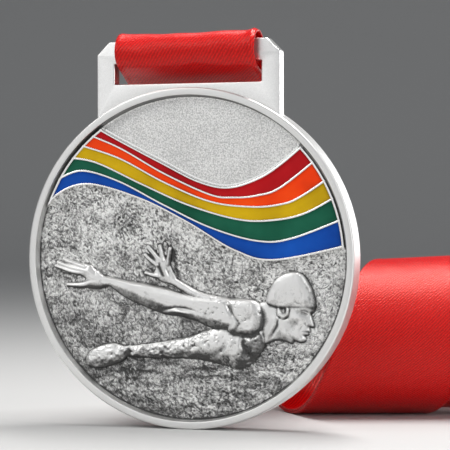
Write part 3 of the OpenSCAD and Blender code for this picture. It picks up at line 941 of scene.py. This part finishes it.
def bodyHeight(u, v):  # legs, foot and torso, which lie lowest
    legs = tube([(6, -18.4), (1.5, -18.3), (-3.5, -18.8), (-9, -19.2), (-14.5, -19.5)],
                [3.0, 2.4, 1.9, 1.45, 1.2], [1.0, 0.9, 0.8, 0.66, 0.6])
    legs += 0.16 * layeredNoise(u * 0.75, v * 0.95, 401, 3, 0.6) * blend(3, -2, u)
    foot = mound(relief["foot"], 0.32, 0.72, 2.3)
    stroke(foot, [(-14.2, -18.3), (-13.6, -19.6), (-14.3, -20.9)], 0.25, -0.2)
    foot += 0.13 * layeredNoise(u * 0.8, v * 0.9, 411, 3, 0.6)
    foot -= 0.10 * blend(-20.6, -21.8, v + (u + 17.5) * -0.12)
    torso = mound(relief["torso"], 0.12, 0.95, 4.2)
    torso -= 0.30 * blend(-18.8, -21.6, v)
    carve(torso, [([(12.3, -15.5), (12.0, -17.2), (12.6, -19.2), (14.4, -20.6)], 0.55, -0.32),
                  ([(8.4, -17.6), (7.4, -18.8), (6.1, -19.7), (4.2, -20.3)], 0.5, -0.30),
                  ([(9.8, -16.2), (9.2, -17.6), (8.2, -19.2), (9.4, -20.3)], 0.6, 0.20),
                  ([(11.2, -16.4), (10.9, -18.2), (10.4, -19.8)], 0.5, 0.16),
                  ([(5.2, -15.4), (6.2, -16.8), (5.4, -18.2)], 0.8, 0.14)])
    for k in range(5):  # ribs
        stroke(torso, [(12.8 + 0.35 * k, -16.4 - 0.9 * k), (13.9 + 0.2 * k, -17.0 - 0.9 * k),
                       (14.9, -17.2 - 0.85 * k)], 0.26, 0.10)
    body = softMax(legs, torso, 0.5)
    foam = insideOf([(-1.2, -17.4), (0.6, -16.2), (2.4, -15.4), (4.3, -15.1), (4.9, -16.4), (4.2, -17.4),
                     (2.6, -18.0), (1, -18.6), (-0.6, -18.4)])
    lumps = layeredNoise(u * 1.05, v * 1.05, 431, 3, 0.6)
    body += foam * (0.16 * lumps - 0.26 * np.clip(1 - np.abs(valueNoise(u * 0.8, v * 0.8, 441)) * 5, 0, 1))
    splash = np.clip(1 - np.abs(v + 17.9 + 0.14 * (u + 1)) / 1.3, 0, 1) * blend(3, -1, u) * blend(-14, -11, u)
    body += splash * (0.12 * layeredNoise(u * 1.0, v * 1.4, 451, 3, 0.6) + 0.04)
    wet = blend(3.5, -1, u) + blend(10.5, 13, u) * blend(-16, -19, v)
    body += wet * (0.075 * layeredNoise(u * 1.5, v * 1.9, 455, 2, 0.7) + 0.5 * waterHeight(u, v))
    hatched = insideOf([(11.9, -15.6), (14, -15.4), (16.2, -15.2), (16.3, -18.2), (14.6, -20.8),
                        (12.8, -22.3), (8.0, -22.0), (4.5, -20.6), (8.5, -19.9), (12.2, -18)], 0.5)
    body += hatched * (0.03 * np.sin((u * 0.75 + v * 0.6 + 0.3 * layeredNoise(u, v, 457, 2)) * 10.5)
                       + 0.05 * layeredNoise(u * 1.6, v * 1.6, 459, 2))
    body = softMax(body, foot, 0.2)
    stroke(body, [(-13.4, -18.0), (-12.7, -19.4), (-13.3, -21.0)], 0.42, -0.45)
    return body


def headHeight(u, v):
    neck = mound(relief["neck"], 0.25, 0.72, 3.0)
    carve(neck, [([(20.0, -11.6), (19.3, -12.7), (19.2, -13.6), (18.4, -15.0), (17.8, -16.2)], 0.30, -0.24),
                 ([(19.1, -11.4), (18.5, -12.9), (17.8, -14.6), (17.0, -16.0)], 0.55, 0.16),
                 ([(21.3, -14.2), (20.6, -15.4), (20.0, -16.3)], 0.45, 0.10)])
    face = mound(onHead(faceProfile), 0.30, 0.62, 2.8, fine=6)
    carve(face, [(onHead(path), width, lift) for path, width, lift in faceStrokes])
    head = softMax(neck, face, 0.12)
    lobe = [([(19.5, -10.0), (19.6, -11.1), (20.5, -11.75), (21.3, -11.1), (21.35, -10.1)], 0.20, 0.30),
            ([(20.0, -10.1), (20.15, -10.8), (20.55, -11.15), (20.85, -10.7), (20.8, -10.2)], 0.17, -0.20),
            ([(19.05, -9.9), (19.1, -11.3), (20.3, -12.25), (21.5, -11.8), (21.9, -10.3)], 0.16, -0.18)]
    carve(head, lobe, taper=False)  # of the ear, below the cap
    cap = mound(relief["cap"], 0.80, 0.52, 2.6)
    facet = u - 25.5 - 0.55 * np.clip(-6.0 - v, -4, 0) - 0.16 * np.clip(-v - 4, 0, 6)
    cap -= 0.48 * np.clip(facet / 1.6, 0, 1)
    hem = [(17.6, -9.05), (18.8, -9.4), (20.4, -9.5), (22.4, -9.5), (24.4, -9.5), (26.6, -9.6)]
    stroke(cap, hem, 0.15, 0.05, taper=False)
    cap += 0.012 * layeredNoise(u * 0.8, v * 0.8, 461, 2)
    for crease in ([(24.3, -6.3), (24.6, -7.2), (24.5, -8.0)], [(19.2, -6.6), (19.0, -7.4), (19.3, -8.2)],
                   [(22.9, -8.4), (23.6, -8.9), (24.4, -9.1)]):
        stroke(cap, crease, 0.14, -0.09)
    return np.maximum(head, cap)


def farArmHeight():  # far arm and open hand
    farArm = tube([(9.0, -9.2), (4.5, -8.25), (1.7, -7.4), (-0.4, -6.3), (-2.7, -5.0)],
                  [1.1, 0.95, 0.9, 0.9, 0.85], [1.0, 0.95, 0.9, 0.8, 0.7])
    hand = mound(relief["farPalm"], 0.22, 0.42, 1.5)
    carve(hand, [([(-6.2, -1.1), (-6.0, -2.2), (-5.5, -3.2), (-4.9, -4.1)], 0.42, -0.36),
                 ([(-4.5, -2.0), (-4.0, -3.2), (-3.6, -4.2)], 0.22, -0.20),
                 ([(-5.2, -1.4), (-4.8, -2.8), (-4.2, -4.2)], 0.26, 0.14)])
    fingers = [([(-6.0, -0.7), (-7.2, 0.7), (-8.55, 2.2)], [0.58, 0.52, 0.44]),
               ([(-6.6, -1.4), (-7.9, -0.5), (-9.2, 0.6)], [0.55, 0.48, 0.40]),
               ([(-5.3, -0.4), (-5.6, 0.9), (-6.0, 2.4)], [0.55, 0.48, 0.40]),
               ([(-4.3, -1.3), (-3.95, 0.2), (-3.8, 1.9)], [0.58, 0.50, 0.40]),
               ([(-6.3, -3.7), (-7.6, -3.5), (-9.0, -3.1)], [0.62, 0.54, 0.42])]
    for path, radii in fingers:
        hand = softMax(hand, tube(path, radii, [0.66, 0.60, 0.50], 0.10), 0.06)
    return softMax(farArm, hand, 0.3)


def nearArmHeight(u):  # a flat bright plane above its ridge and a falling plane below it
    d = lineSide(relief["armRidge"])
    crest = np.interp(u, [-21, -16, -9, 0, 6, 11], [0.92, 1.0, 1.2, 1.34, 1.38, 1.30])
    planes = np.where(d > 0, crest - 0.035 * d, crest + 0.50 * d)
    arm = np.minimum(mound(relief["nearArm"], 0.28, 1.2, 2.1), blurred(planes, 0.16))
    arm = np.where(arm > nowhere + 1, arm, nowhere)
    carve(arm, [([(-4.9, -10.6), (-2.4, -10.15), (0.2, -10.3), (1.8, -10.7)], 0.30, -0.30),
                ([(-4.6, -11.15), (-2.4, -10.95), (-0.2, -11.15), (1.5, -11.3)], 0.40, 0.34),
                ([(-9.2, -5.9), (-5, -6.9), (-1, -7.9), (3, -8.7)], 0.22, -0.10),
                ([(-14, -5.4), (-9, -6.9), (-4, -8.3), (2, -9.9)], 0.7, 0.07),
                ([(-17.5, -4.7), (-15.5, -5.0), (-13, -5.6)], 0.35, -0.06)])
    palm = mound(relief["palm"], 0.25, 0.72, 1.6)
    for ray in ([(-19.3, -4.1), (-21.4, -3.0), (-23.6, -2.2)], [(-19.6, -4.6), (-21.6, -3.8), (-23.6, -3.1)],
                [(-19.4, -5.2), (-21, -5.2), (-23, -5.5)]):
        stroke(palm, ray, 0.34, 0.10)
    near = softMax(arm, palm, 0.3)
    for path, radii in (([(-22.4, -2.0), (-25.0, -1.25), (-27.2, -0.35)], [0.72, 0.60, 0.42]),
                        ([(-22.4, -2.6), (-25.4, -2.1), (-28.5, -1.0)], [0.72, 0.62, 0.42]),
                        ([(-22.6, -3.2), (-25.6, -2.8), (-29.0, -1.75)], [0.70, 0.58, 0.40]),
                        ([(-20.9, -5.3), (-23.6, -5.75), (-26.3, -5.65)], [0.85, 0.66, 0.46])):
        near = softMax(near, tube(path, radii, [0.92, 0.78, 0.58], 0.06), 0.05)
    stroke(near, [(-23.4, -1.9), (-25.4, -1.3), (-27.0, -0.75)], 0.16, -0.22)
    return near


def shoulderHeight(u, v):  # upper arm and shoulder
    shoulder = mound(relief["shoulder"], 0.30, 1.12, 1.7)
    shoulder -= 0.55 * np.clip((u - 14.2 + 0.10 * np.abs(v + 11.8)) / 2.4, 0, 1) ** 1.4
    shoulder -= 0.30 * blend(-14.2, -15.8, v)
    carve(shoulder, [([(8.7, -8.5), (9.5, -9.8), (9.9, -11.2), (10.8, -12.4), (11.3, -13.4), (10.6, -14.7)],
                      0.24, -0.22),
                     ([(12.0, -10.2), (12.6, -10.7), (12.9, -11.3)], 0.12, 0.09),
                     ([(12.6, -10.0), (13.1, -10.6)], 0.12, -0.08),
                     ([(11.5, -13.6), (13.0, -14.4), (14.3, -14.0)], 0.45, 0.08),
                     ([(12.2, -12.6), (13.6, -12.2), (14.6, -11.2)], 0.5, -0.08)])
    return shoulder


def buildSwimmer():
    u, v = swimU, swimV
    figure = softMax(bodyHeight(u, v), headHeight(u, v), 0.15)
    stroke(figure, [(15.6, -14.9), (16.2, -16.0), (16.35, -17.4), (16.15, -18.8)], 0.16, 0.26, False)
    figure = np.maximum(figure, farArmHeight())
    figure = np.maximum(figure, nearArmHeight(u) - 0.02)
    figure = np.maximum(figure, shoulderHeight(u, v) - 0.01)
    stroke(figure, [(9.0, -15.5), (11.9, -15.9), (14.2, -16.0), (15.7, -15.1)], 0.22, -0.22)
    grain = layeredNoise(u * 0.45 - v * 0.2, v * 2.6 + u * 0.7, 475, 2, 0.6)  # marks that run along the arms
    figure += 0.010 * layeredNoise(u * 1.3, v * 1.3, 471, 3, 0.6) + 0.014 * grain * blend(17.5, 16, u)
    pits = np.clip(layeredNoise(u * 1.9, v * 1.9, 479, 2, 0.5) - 0.50, 0, 1)
    return figure - 0.22 * pits * blend(-1, 5, u) * blend(16.4, 15.4, u)  # the head stays smooth


figureHeight = buildSwimmer()
# Dark marks on the figure, partly patina in its grooves and partly painted shade on its undersides and
# right-hand sides; a negative amount paints lighter: path, width, amount
patinaAndShadeMarks = [
    ([(12.6, -16.0), (12.6, -18.0), (13.4, -20.2)], 1.3, 0.42),
    ([(15.6, -15.6), (15.4, -17.2)], 0.5, -0.2),
    ([(-13.4, -20.1), (-5, -19.8), (2, -19.9), (7, -20.8), (11.5, -21.8)], 1.0, 0.62),
    ([(8.4, -17.2), (7.2, -18.8), (5.5, -19.7), (0, -19.6)], 0.75, 0.42),
    ([(-20.8, -22.3), (-18, -21.9), (-14.4, -20.7)], 0.75, 0.60),
    ([(-13.6, -18.2), (-12.8, -19.6), (-13.6, -21)], 0.6, 0.9),
    ([(14.6, -8.9), (16.0, -10.2), (16.3, -12.3), (15.5, -14.6), (13.8, -15.6)], 0.75, 0.62),
    ([(9.8, -12.2), (10.9, -13.3), (10.3, -14.5), (8.5, -14.9)], 0.50, 0.55),
    ([(-14.5, -6.6), (-10, -8.6), (-5, -10.9), (2, -12.4), (8.6, -14.2)], 0.95, 0.30),
    ([(-5, -10.4), (-2, -10.1), (1.5, -10.6), (6, -11.9)], 0.35, 0.45),
    ([(-17.8, -5.6), (-22, -6.2), (-26, -6.1)], 0.4, 0.45),
    ([(16.6, -10), (16.5, -12.5), (16.3, -15.5)], 0.40, 0.35),
    ([(19.6, -14.8), (21, -16.2), (22.6, -17)], 0.55, 0.30),
    ([(19.5, -11.8), (19.2, -13.4), (18.2, -15.3)], 0.32, 0.35),
    ([(24.9, -3.2), (26.2, -5.2), (26.9, -7.5), (27.1, -9.9)], 0.75, 1.25),
    ([(-2.8, -5.7), (0.4, -7.2), (3.6, -8.3), (7.0, -8.8)], 0.45, 0.60),
    ([(-3.6, 1.8), (-3.4, -1), (-2.4, -3.9)], 0.42, 1.1),
    ([(-6.0, -1.4), (-5.7, -2.8), (-4.8, -4.6)], 0.45, 0.9), ([(-8.2, 1.3), (-6.5, -0.6)], 0.16, 0.5),
    ([(-5.5, 2.0), (-5.0, 0)], 0.2, 0.5), ([(-9, -3.6), (-6.8, -4.2)], 0.25, 0.5),
    ([(-1, -17.2), (1, -17.9), (2.6, -16.6), (4.4, -17.2)], 0.30, 0.40),
    ([(-9, -5.6), (-4, -6.8), (2, -8.3)], 0.22, 0.28)]


def makeSwimmer():
    h = figureHeight
    shown = np.maximum(h, -0.30)
    broad = np.maximum(h, -0.1)
    hollow = 0.60 * (broad - blurred(broad, 0.45)) / 0.10 + 0.5 * (broad - blurred(broad, 1.3)) / 0.25
    down, right = np.gradient(blurred(broad, 0.2), cell)  # rising upwards means facing down
    # painted shade: slopes that face down, and less so those that face right, are painted darker
    shade = np.clip(down, -0.5, 1.0) + 0.35 * np.clip(-right, -0.3, 1.0)
    patinaAndShade = np.zeros_like(h)
    carve(patinaAndShade, patinaAndShadeMarks)
    worn = 0.14 * layeredNoise(swimU * 0.7, swimV * 0.7, 481, 4, 0.65)
    worn += 0.06 * valueNoise(swimU * 4, swimV * 4, 491)
    wet = blend(2, -3, swimU) * blend(-15.5, -17.5, swimV)
    worn -= wet * (0.14 - 0.34 * layeredNoise(swimU * 0.9, swimV * 1.2, 495, 3, 0.65))
    shadedPlane = blend(0.15, -0.35, lineSide(relief["armRidge"]))  # painted shade: the falling plane of the near arm, which faces down, is painted darker
    onArm = blend(-1.0, 0.1, mound(relief["nearArm"], 0.28, 1.2, 2.1)) * blend(-17.5, -15.5, swimU)
    patinaAndShade += 0.26 * shadedPlane * onArm * np.interp(swimU, [-16, -5, -2, 8.8, 9.6], [1, 1, 0.55, 0.75, 0])
    # painted shade on the torso's lower right
    patinaAndShade += 0.85 * insideOf([(11.9, -15.6), (14, -15.4), (16.2, -15.2), (16.3, -18.2), (14.6, -20.8),
                              (12.8, -22.3), (10.4, -22.3), (10.9, -20.2), (12.2, -18)], 0.5)
    raised = np.clip(0.80 + 0.46 * np.clip(hollow, -1.6, 0.25) - 1.1 * shade - 0.62 * patinaAndShade + worn, 0, 1)
    keep = np.maximum.reduce([h[:-1, :-1], h[1:, :-1], h[:-1, 1:], h[1:, 1:]]) > swimmerValues["keep"]
    rows, columns = h.shape
    quads = gridFaces(rows, columns)[keep.ravel()]
    used, quads = np.unique(quads, return_inverse=True)
    quads = quads.reshape(-1, 4)
    levels = fieldValues["level"] + shown.ravel()[used]
    points = onFace(swimU.ravel()[used] - figureShift, swimV.ravel()[used], levels)
    mesh = bpy.data.meshes.new("swimmer_mesh")
    mesh.from_pydata([tuple(p) for p in points], [], [tuple(q) for q in quads])
    layer = mesh.attributes.new("raised", "FLOAT", "POINT")
    layer.data.foreach_set("value", raised.ravel()[used].astype(np.float32))
    bm = bmesh.new()
    bm.from_mesh(mesh)
    pinched = [vert for vert in bm.verts if sum(e.is_boundary for e in vert.link_edges) > 2]
    bmesh.ops.delete(bm, geom=list({f for vert in pinched for f in vert.link_faces}), context="FACES")
    rim = [e for e in bm.edges if e.is_boundary]
    made = bmesh.ops.extrude_edge_only(bm, edges=rim)["geom"]
    for vert in (g for g in made if isinstance(g, bmesh.types.BMVert)):
        vert.co.y = faceCentre.y - fieldValues["floor"] * mm
    bottom = [g for g in made if isinstance(g, bmesh.types.BMEdge) and g.is_boundary]
    bmesh.ops.triangle_fill(bm, edges=bottom, use_beauty=False)
    bmesh.ops.recalc_face_normals(bm, faces=bm.faces)
    bm.to_mesh(mesh)
    bm.free()
    print("swimmer", len(mesh.polygons), "faces")
    swimmer = smoothed(placed("swimmer_mesh", mesh))
    return finishPiece(swimmer, metals["figure"], "medal", "relief_metal", "swimmer_relief")


makeUpperField()
makeWaterField()
makeSwimmer()
print("fields and swimmer made")

# The ribbon's numbers are millimetres and degrees; angles on the roll grow along the ribbon
ribbonValues = {"width": 30.0, "leg": 0.46, "gap": 0.03, "length": 425.0, "across": 40,
                "rollRadius": 17.0, "rollBack": 25.5, "rollTurn": 17.2, "innerRadius": 5.0, "sag": 0.2,
                "slope": 19.5 / 180, "middle": 34.9,
                "dropAngle": -130.0, "topAngle": 180.0, "straightAngle": 240.0,
                "barRadius": 3.42, "tip": 9.0, "step": 1.15, "flare": 0.045}
offRoll = -200.0  # stands for the roll's angle where the ribbon isn't on the roll
footPoint = onFace(0, -discValues["radius"], -discValues["thick"]) / mm
barPoint = onFace(0, (hangerValues["slotHigh"] + hangerValues["top"]) / 2,
                  (hangerValues["front"] + hangerValues["back"]) / 2) / mm
rollTurn = math.radians(ribbonValues["rollTurn"])
rollX = np.array([math.cos(rollTurn), math.sin(rollTurn), 0])
rollY = np.array([-math.sin(rollTurn), math.cos(rollTurn), 0])
rollUp = np.array([0, 0, 1])
rollCentre = ribbonValues["rollRadius"] - 0.5  # radius of the outer turn's middle


def unit(rows):
    return rows / np.linalg.norm(rows, axis=-1, keepdims=True)


def rollAlong(q):  # how far the roll has moved along its axis: a steady slant that dies out past the top
    v = ribbonValues
    top, straight = v["topAngle"], v["straightAngle"]
    past = np.where(q <= top, 0, np.where(q >= straight, q - (top + straight) / 2,
                                          (q - top) ** 2 / (2 * (straight - top))))
    ease = -0.95 * np.sin(np.pi * np.clip((q - 95) / 85, 0, 1))  # the edge swings in just below the top
    return v["middle"] + v["slope"] * (q - past) + ease


def rollPath(q, innerTurn):  # points of the roll and their outward directions
    v = ribbonValues
    r = np.where(q <= v["topAngle"], rollCentre,
                 rollCentre - (rollCentre - v["innerRadius"]) * (q - v["topAngle"]) / innerTurn)
    height = (v["rollRadius"] - v["sag"] * (rollCentre - r) - r * np.cos(np.radians(q)))[:, None]
    depth = (v["rollBack"] - r * np.sin(np.radians(q)))[:, None]
    point = footPoint + rollX * rollAlong(q)[:, None] + rollY * depth + rollUp * height
    return point, -rollY * np.sin(np.radians(q))[:, None] - rollUp * np.cos(np.radians(q))[:, None]


def dropLine():  # straight run behind the medal: where it starts and ends, its direction, its lean
    end = rollPath(np.array([ribbonValues["dropAngle"]]), 1)[0][0]
    along = unit(end - barPoint)
    lean = math.atan2(along[1], -along[2])
    start = barPoint + np.array([0, math.sin(lean), -math.cos(lean)]) * ribbonValues["tip"]
    return start, end, along, lean


def dropTwist(t, along):  # across and outward directions at shares of the drop's length
    twist = rollTurn * blend(0, 1, t)
    across = np.stack([np.cos(twist), np.sin(twist), 0 * twist], -1)
    return across, unit(np.cross(across, along))


def centrePath():  # both legs together, from the tip of the loop to the far fold
    v = ribbonValues
    start, dropEnd, along, lean = dropLine()
    full = np.linalg.norm(dropEnd - barPoint)
    outer = (rollCentre * math.radians(v["topAngle"] - v["dropAngle"])
             * math.sqrt(1 + (v["slope"] * 180 / (math.pi * rollCentre)) ** 2))
    innerTurn = (v["length"] - full - outer) * 360 / (math.pi * (rollCentre + v["innerRadius"]))
    t = np.linspace(0, 1, int(np.linalg.norm(dropEnd - start) / v["step"]), endpoint=False)
    acrossDrop, outDrop = dropTwist(t, along)
    q = [v["dropAngle"]]
    while q[-1] < v["topAngle"] + innerTurn - 1:
        wound = max(0, q[-1] - v["topAngle"]) / innerTurn
        r = max(v["innerRadius"], rollCentre - (rollCentre - v["innerRadius"]) * wound)
        q.append(q[-1] + math.degrees(v["step"] / r))
    rollPoints, rollOut = rollPath(np.array(q), innerTurn)
    points = np.vstack([start + (dropEnd - start) * t[:, None], rollPoints])
    acrosses = np.vstack([acrossDrop, np.tile(rollX, (len(q), 1))])
    angles = np.concatenate([np.full(len(t), offRoll), q])
    return points, np.vstack([outDrop, rollOut]), acrosses, angles, lean


def straightRun(a, b, n=8):
    t = np.linspace(0, 1, n + 2)[1:-1, None]
    return a * (1 - t) + b * t


def stripPath():  # middle line of the strip, once round both legs, with its directions row by row
    v = ribbonValues
    points, outs, acrosses, angles, lean = centrePath()
    half = (v["leg"] + v["gap"]) / 2
    # round the bar the strip follows a circle that meets both legs tangentially
    down, spreadAngle = math.pi * 1.5 + lean, math.acos(v["barRadius"] / v["tip"])
    turns = np.linspace(down - spreadAngle, down + spreadAngle - 2 * math.pi, 44)
    circleOut = np.stack([0 * turns, np.cos(turns), np.sin(turns)], -1)
    bulge = 1 + 0.05 * np.cos(turns - math.pi * 0.75)
    circle = barPoint + circleOut * v["barRadius"] * bulge[:, None]
    side = 1 if outs[0] @ circleOut[0] > 0 else -1
    first, second = points + outs * half * side, points - outs * half * side
    runIn, runOut = straightRun(first[0], circle[0]), straightRun(circle[-1], second[0])
    loop = np.vstack([runIn, circle, runOut])
    loopOut = np.vstack([np.tile(circleOut[0], (len(runIn), 1)), circleOut,
                         np.tile(circleOut[-1], (len(runOut), 1))])
    # at the far end the strip folds back in a half circle
    bends = np.linspace(0, math.pi, 9)[-2:0:-1, None]
    foldOut = unit(points[-1] - points[-2]) * np.sin(bends) + outs[-1] * side * np.cos(bends)
    path = np.vstack([first[::-1], loop, second, points[-1] + foldOut * half])
    sideways = np.vstack([acrosses[::-1], np.tile([1.0, 0, 0], (len(loop), 1)), acrosses,
                          np.tile(rollX, (len(foldOut), 1))])
    # the true outward direction is square to the path
    normal = unit(np.cross(unit(np.roll(path, -1, 0) - np.roll(path, 1, 0)), sideways))
    rough = np.vstack([outs[::-1] * side, loopOut, -outs * side, foldOut])
    normal *= np.sign(np.sum(normal * rough, 1))[:, None]
    # the outer turn stands a little proud at its right end
    turnOf = np.concatenate([angles[::-1], np.full(len(loop), offRoll), angles,
                             np.full(len(foldOut), offRoll)])
    awayFromRoll = np.sign(np.sum(normal * np.vstack([outs[::-1], loopOut, outs, foldOut]), 1))
    flare = v["flare"] * awayFromRoll * blend(70, 170, turnOf) * blend(300, 200, turnOf)
    loose = np.zeros(len(path))  # the loop round the bar hangs loosely
    loose[len(first) + 4:len(first) + len(runIn) + len(circle) + 4] = 1
    loose = np.convolve(np.pad(loose, 6, "edge"), np.ones(13) / 13, "valid")
    return path, sideways, normal, flare, loose


def stripSection():  # cross-section of a thin strip with rounded, slightly thicker selvedges
    w, t = ribbonValues["width"] / 2, ribbonValues["leg"] / 2
    rim = np.array([0.05, 0.22, 0.5, 0.8, 1.05])
    xs = np.concatenate([rim - w, np.linspace(1.6 - w, w - 1.6, ribbonValues["across"] - 10), w - rim[::-1]])
    lift = np.interp(np.abs(xs), [0, w - 1.1, w - 0.8, w - 0.3, w - 0.05], [0, 0, 0.07, 0.06, -0.04])
    upper = np.stack([xs, t + lift], -1)
    lower = np.stack([xs, -(t + lift) * 0.9], -1)[::-1]
    return np.vstack([upper, [[w, 0]], lower, [[-w, 0]]]), len(xs)


def makeRibbon():
    path, sideways, normal, flare, loose = stripPath()
    section, upperCount = stripSection()
    rows, n, w = len(path), len(section), ribbonValues["width"] / 2
    lengths = np.concatenate([[0], np.cumsum(np.linalg.norm(np.diff(path, axis=0), axis=1))])
    x, s = np.meshgrid(section[:, 0], lengths)
    loose = loose[:, None]
    height = section[:, 1] + 0.03 * layeredNoise(x * 0.16, s * 0.10, 601, 2)
    height = height + loose * (0.30 * layeredNoise(x * 0.11, s * 0.16, 621, 2) + 0.10)
    height = height + loose * 0.34 * np.exp(-((x - w + 1.0) / 0.62) ** 2)  # its right selvedge curls up
    height = height + flare[:, None] * (x + w)
    grid = path[:, None] + sideways[:, None] * x[..., None] + normal[:, None] * height[..., None]
    faces = gridFaces(rows, n, wrapRows=True, wrapColumns=True)
    ribbon = meshPiece("ribbon_strip", grid.reshape(-1, 3) * mm, faces, sharpAngle=0)
    # cloth coordinates in millimetres: across, with the inner side 40 further on, and along
    across = section[:, 0] + np.where(np.arange(n) > upperCount, 40, 0)
    total = lengths[-1] + np.linalg.norm(path[0] - path[-1])
    corners = np.array([loop.vertex_index for loop in ribbon.data.loops]).reshape(-1, 4)
    row = corners // n
    wraps = (row.max(1) - row.min(1) > rows / 2)[:, None] & (row == 0)
    cloth = np.stack([across[corners % n], np.where(wraps, total, lengths[row])], -1)
    ribbon.data.uv_layers.new(name="cloth").data.foreach_set("uv", cloth.ravel())
    outward(ribbon)
    print("ribbon", rows, "rows,", round(total, 1), "mm of strip")
    return finishPiece(ribbon, satinMaterial(), "ribbon", "red_satin",
                       "ribbon_bar_loop", "ribbon_drop", "ribbon_roll")


ribbon = makeRibbon()
print("ribbon made")

# The block of stitches lies between two shares of the drop's length
seamValues = {"from": 0.16, "to": 0.30, "half": 11.0, "stitch": 1.9, "pitch": 2.5, "thread": 0.17,
              "bow": 0.22, "steps": 24}


def stitchTree():  # lays bowed stitches end to end along every edge path it is given
    tree = bpy.data.node_groups.new("stitchRow", "GeometryNodeTree")
    face = tree.interface
    face.new_socket("Geometry", in_out="INPUT", socket_type="NodeSocketGeometry")
    for name in ("Stitch Length", "Pitch", "Thread Radius", "Bow"):
        face.new_socket(name, in_out="INPUT", socket_type="NodeSocketFloat")
    face.new_socket("Thread", in_out="INPUT", socket_type="NodeSocketMaterial")
    face.new_socket("Geometry", in_out="OUTPUT", socket_type="NodeSocketGeometry")
    node, link = tree.nodes.new, tree.links.new
    start, end = node("NodeGroupInput"), node("NodeGroupOutput")
    toCurve, resample = node("GeometryNodeMeshToCurve"), node("GeometryNodeResampleCurve")
    resample.mode = "LENGTH"
    link(start.outputs["Geometry"], toCurve.inputs["Mesh"])
    link(toCurve.outputs["Curve"], resample.inputs["Curve"])
    link(start.outputs["Pitch"], resample.inputs["Length"])
    bow, profile = node("GeometryNodeCurveQuadraticBezier"), node("GeometryNodeCurvePrimitiveCircle")
    sweep = node("GeometryNodeCurveToMesh")
    bow.inputs["Resolution"].default_value, profile.inputs["Resolution"].default_value = 8, 7
    for socket, share in (("Start", -0.5), ("End", 0.5)):
        reach, place = node("ShaderNodeMath"), node("ShaderNodeCombineXYZ")
        reach.operation = "MULTIPLY"
        reach.inputs[1].default_value = share
        link(start.outputs["Stitch Length"], reach.inputs[0])
        link(reach.outputs[0], place.inputs["X"])
        link(place.outputs[0], bow.inputs[socket])
    middle = node("ShaderNodeCombineXYZ")
    link(start.outputs["Bow"], middle.inputs["Z"])
    link(middle.outputs[0], bow.inputs["Middle"])
    link(start.outputs["Thread Radius"], profile.inputs["Radius"])
    link(bow.outputs["Curve"], sweep.inputs["Curve"])
    link(profile.outputs["Curve"], sweep.inputs["Profile Curve"])
    sweep.inputs["Fill Caps"].default_value = True
    tangent, upward = node("GeometryNodeInputTangent"), node("GeometryNodeInputNamedAttribute")
    upward.data_type = "FLOAT_VECTOR"
    upward.inputs["Name"].default_value = "clothNormal"
    alongTurn, upTurn = node("FunctionNodeAlignRotationToVector"), node("FunctionNodeAlignRotationToVector")
    alongTurn.axis, upTurn.axis, upTurn.pivot_axis = "X", "Z", "X"
    link(tangent.outputs["Tangent"], alongTurn.inputs["Vector"])
    link(alongTurn.outputs["Rotation"], upTurn.inputs["Rotation"])
    link(upward.outputs["Attribute"], upTurn.inputs["Vector"])
    lay = node("GeometryNodeInstanceOnPoints")
    link(resample.outputs["Curve"], lay.inputs["Points"])
    link(sweep.outputs["Mesh"], lay.inputs["Instance"])
    link(upTurn.outputs["Rotation"], lay.inputs["Rotation"])
    real, paint = node("GeometryNodeRealizeInstances"), node("GeometryNodeSetMaterial")
    link(lay.outputs["Instances"], real.inputs["Geometry"])
    link(real.outputs["Geometry"], paint.inputs["Geometry"])
    link(start.outputs["Thread"], paint.inputs["Material"])
    link(paint.outputs["Geometry"], end.inputs["Geometry"])
    return tree


def seamPaths():  # a box and its two diagonals on the drop's outer face, with the cloth's outward direction
    v = seamValues
    start, dropEnd, along, _ = dropLine()
    h, a, b = v["half"], v["from"], v["to"]
    corners = np.array([(-h, a), (h, a), (h, b), (-h, b)])
    points, normals, edges = [], [], []
    for i, j in ((0, 1), (1, 2), (2, 3), (3, 0), (0, 2), (1, 3)):
        edges += [(len(points) + k, len(points) + k + 1) for k in range(v["steps"])]
        for x, t in np.linspace(corners[i], corners[j], v["steps"] + 1):
            across, out = dropTwist(t, along)
            points.append(start + (dropEnd - start) * t + across * x + out * (ribbonValues["leg"] + 0.06))
            normals.append(out)
    mesh = bpy.data.meshes.new("seam_paths")
    mesh.from_pydata([tuple(p * mm) for p in points], edges, [])
    layer = mesh.attributes.new("clothNormal", "FLOAT_VECTOR", "POINT")
    layer.data.foreach_set("vector", np.asarray(normals, np.float32).ravel())
    return placed("seam_paths", mesh)


def makeSeam():
    v = seamValues
    source, thread = seamPaths(), threadMaterial()
    modifier = source.modifiers.new("stitches", "NODES")
    modifier.node_group = stitchTree()
    values = {"Stitch Length": v["stitch"] * mm, "Pitch": v["pitch"] * mm, "Thread Radius": v["thread"] * mm,
              "Bow": v["bow"] * mm, "Thread": thread}
    for item in modifier.node_group.interface.items_tree:
        if item.in_out == "INPUT" and item.name in values:
            modifier[item.identifier] = values[item.name]
    seam = smoothed(placed("seam_stitches", applied(source)))
    print("seam", len(seam.data.polygons), "faces")
    return finishPiece(outward(seam), thread, "ribbon", "red_thread", "ribbon_seam")


seam = makeSeam()
print("seam made")
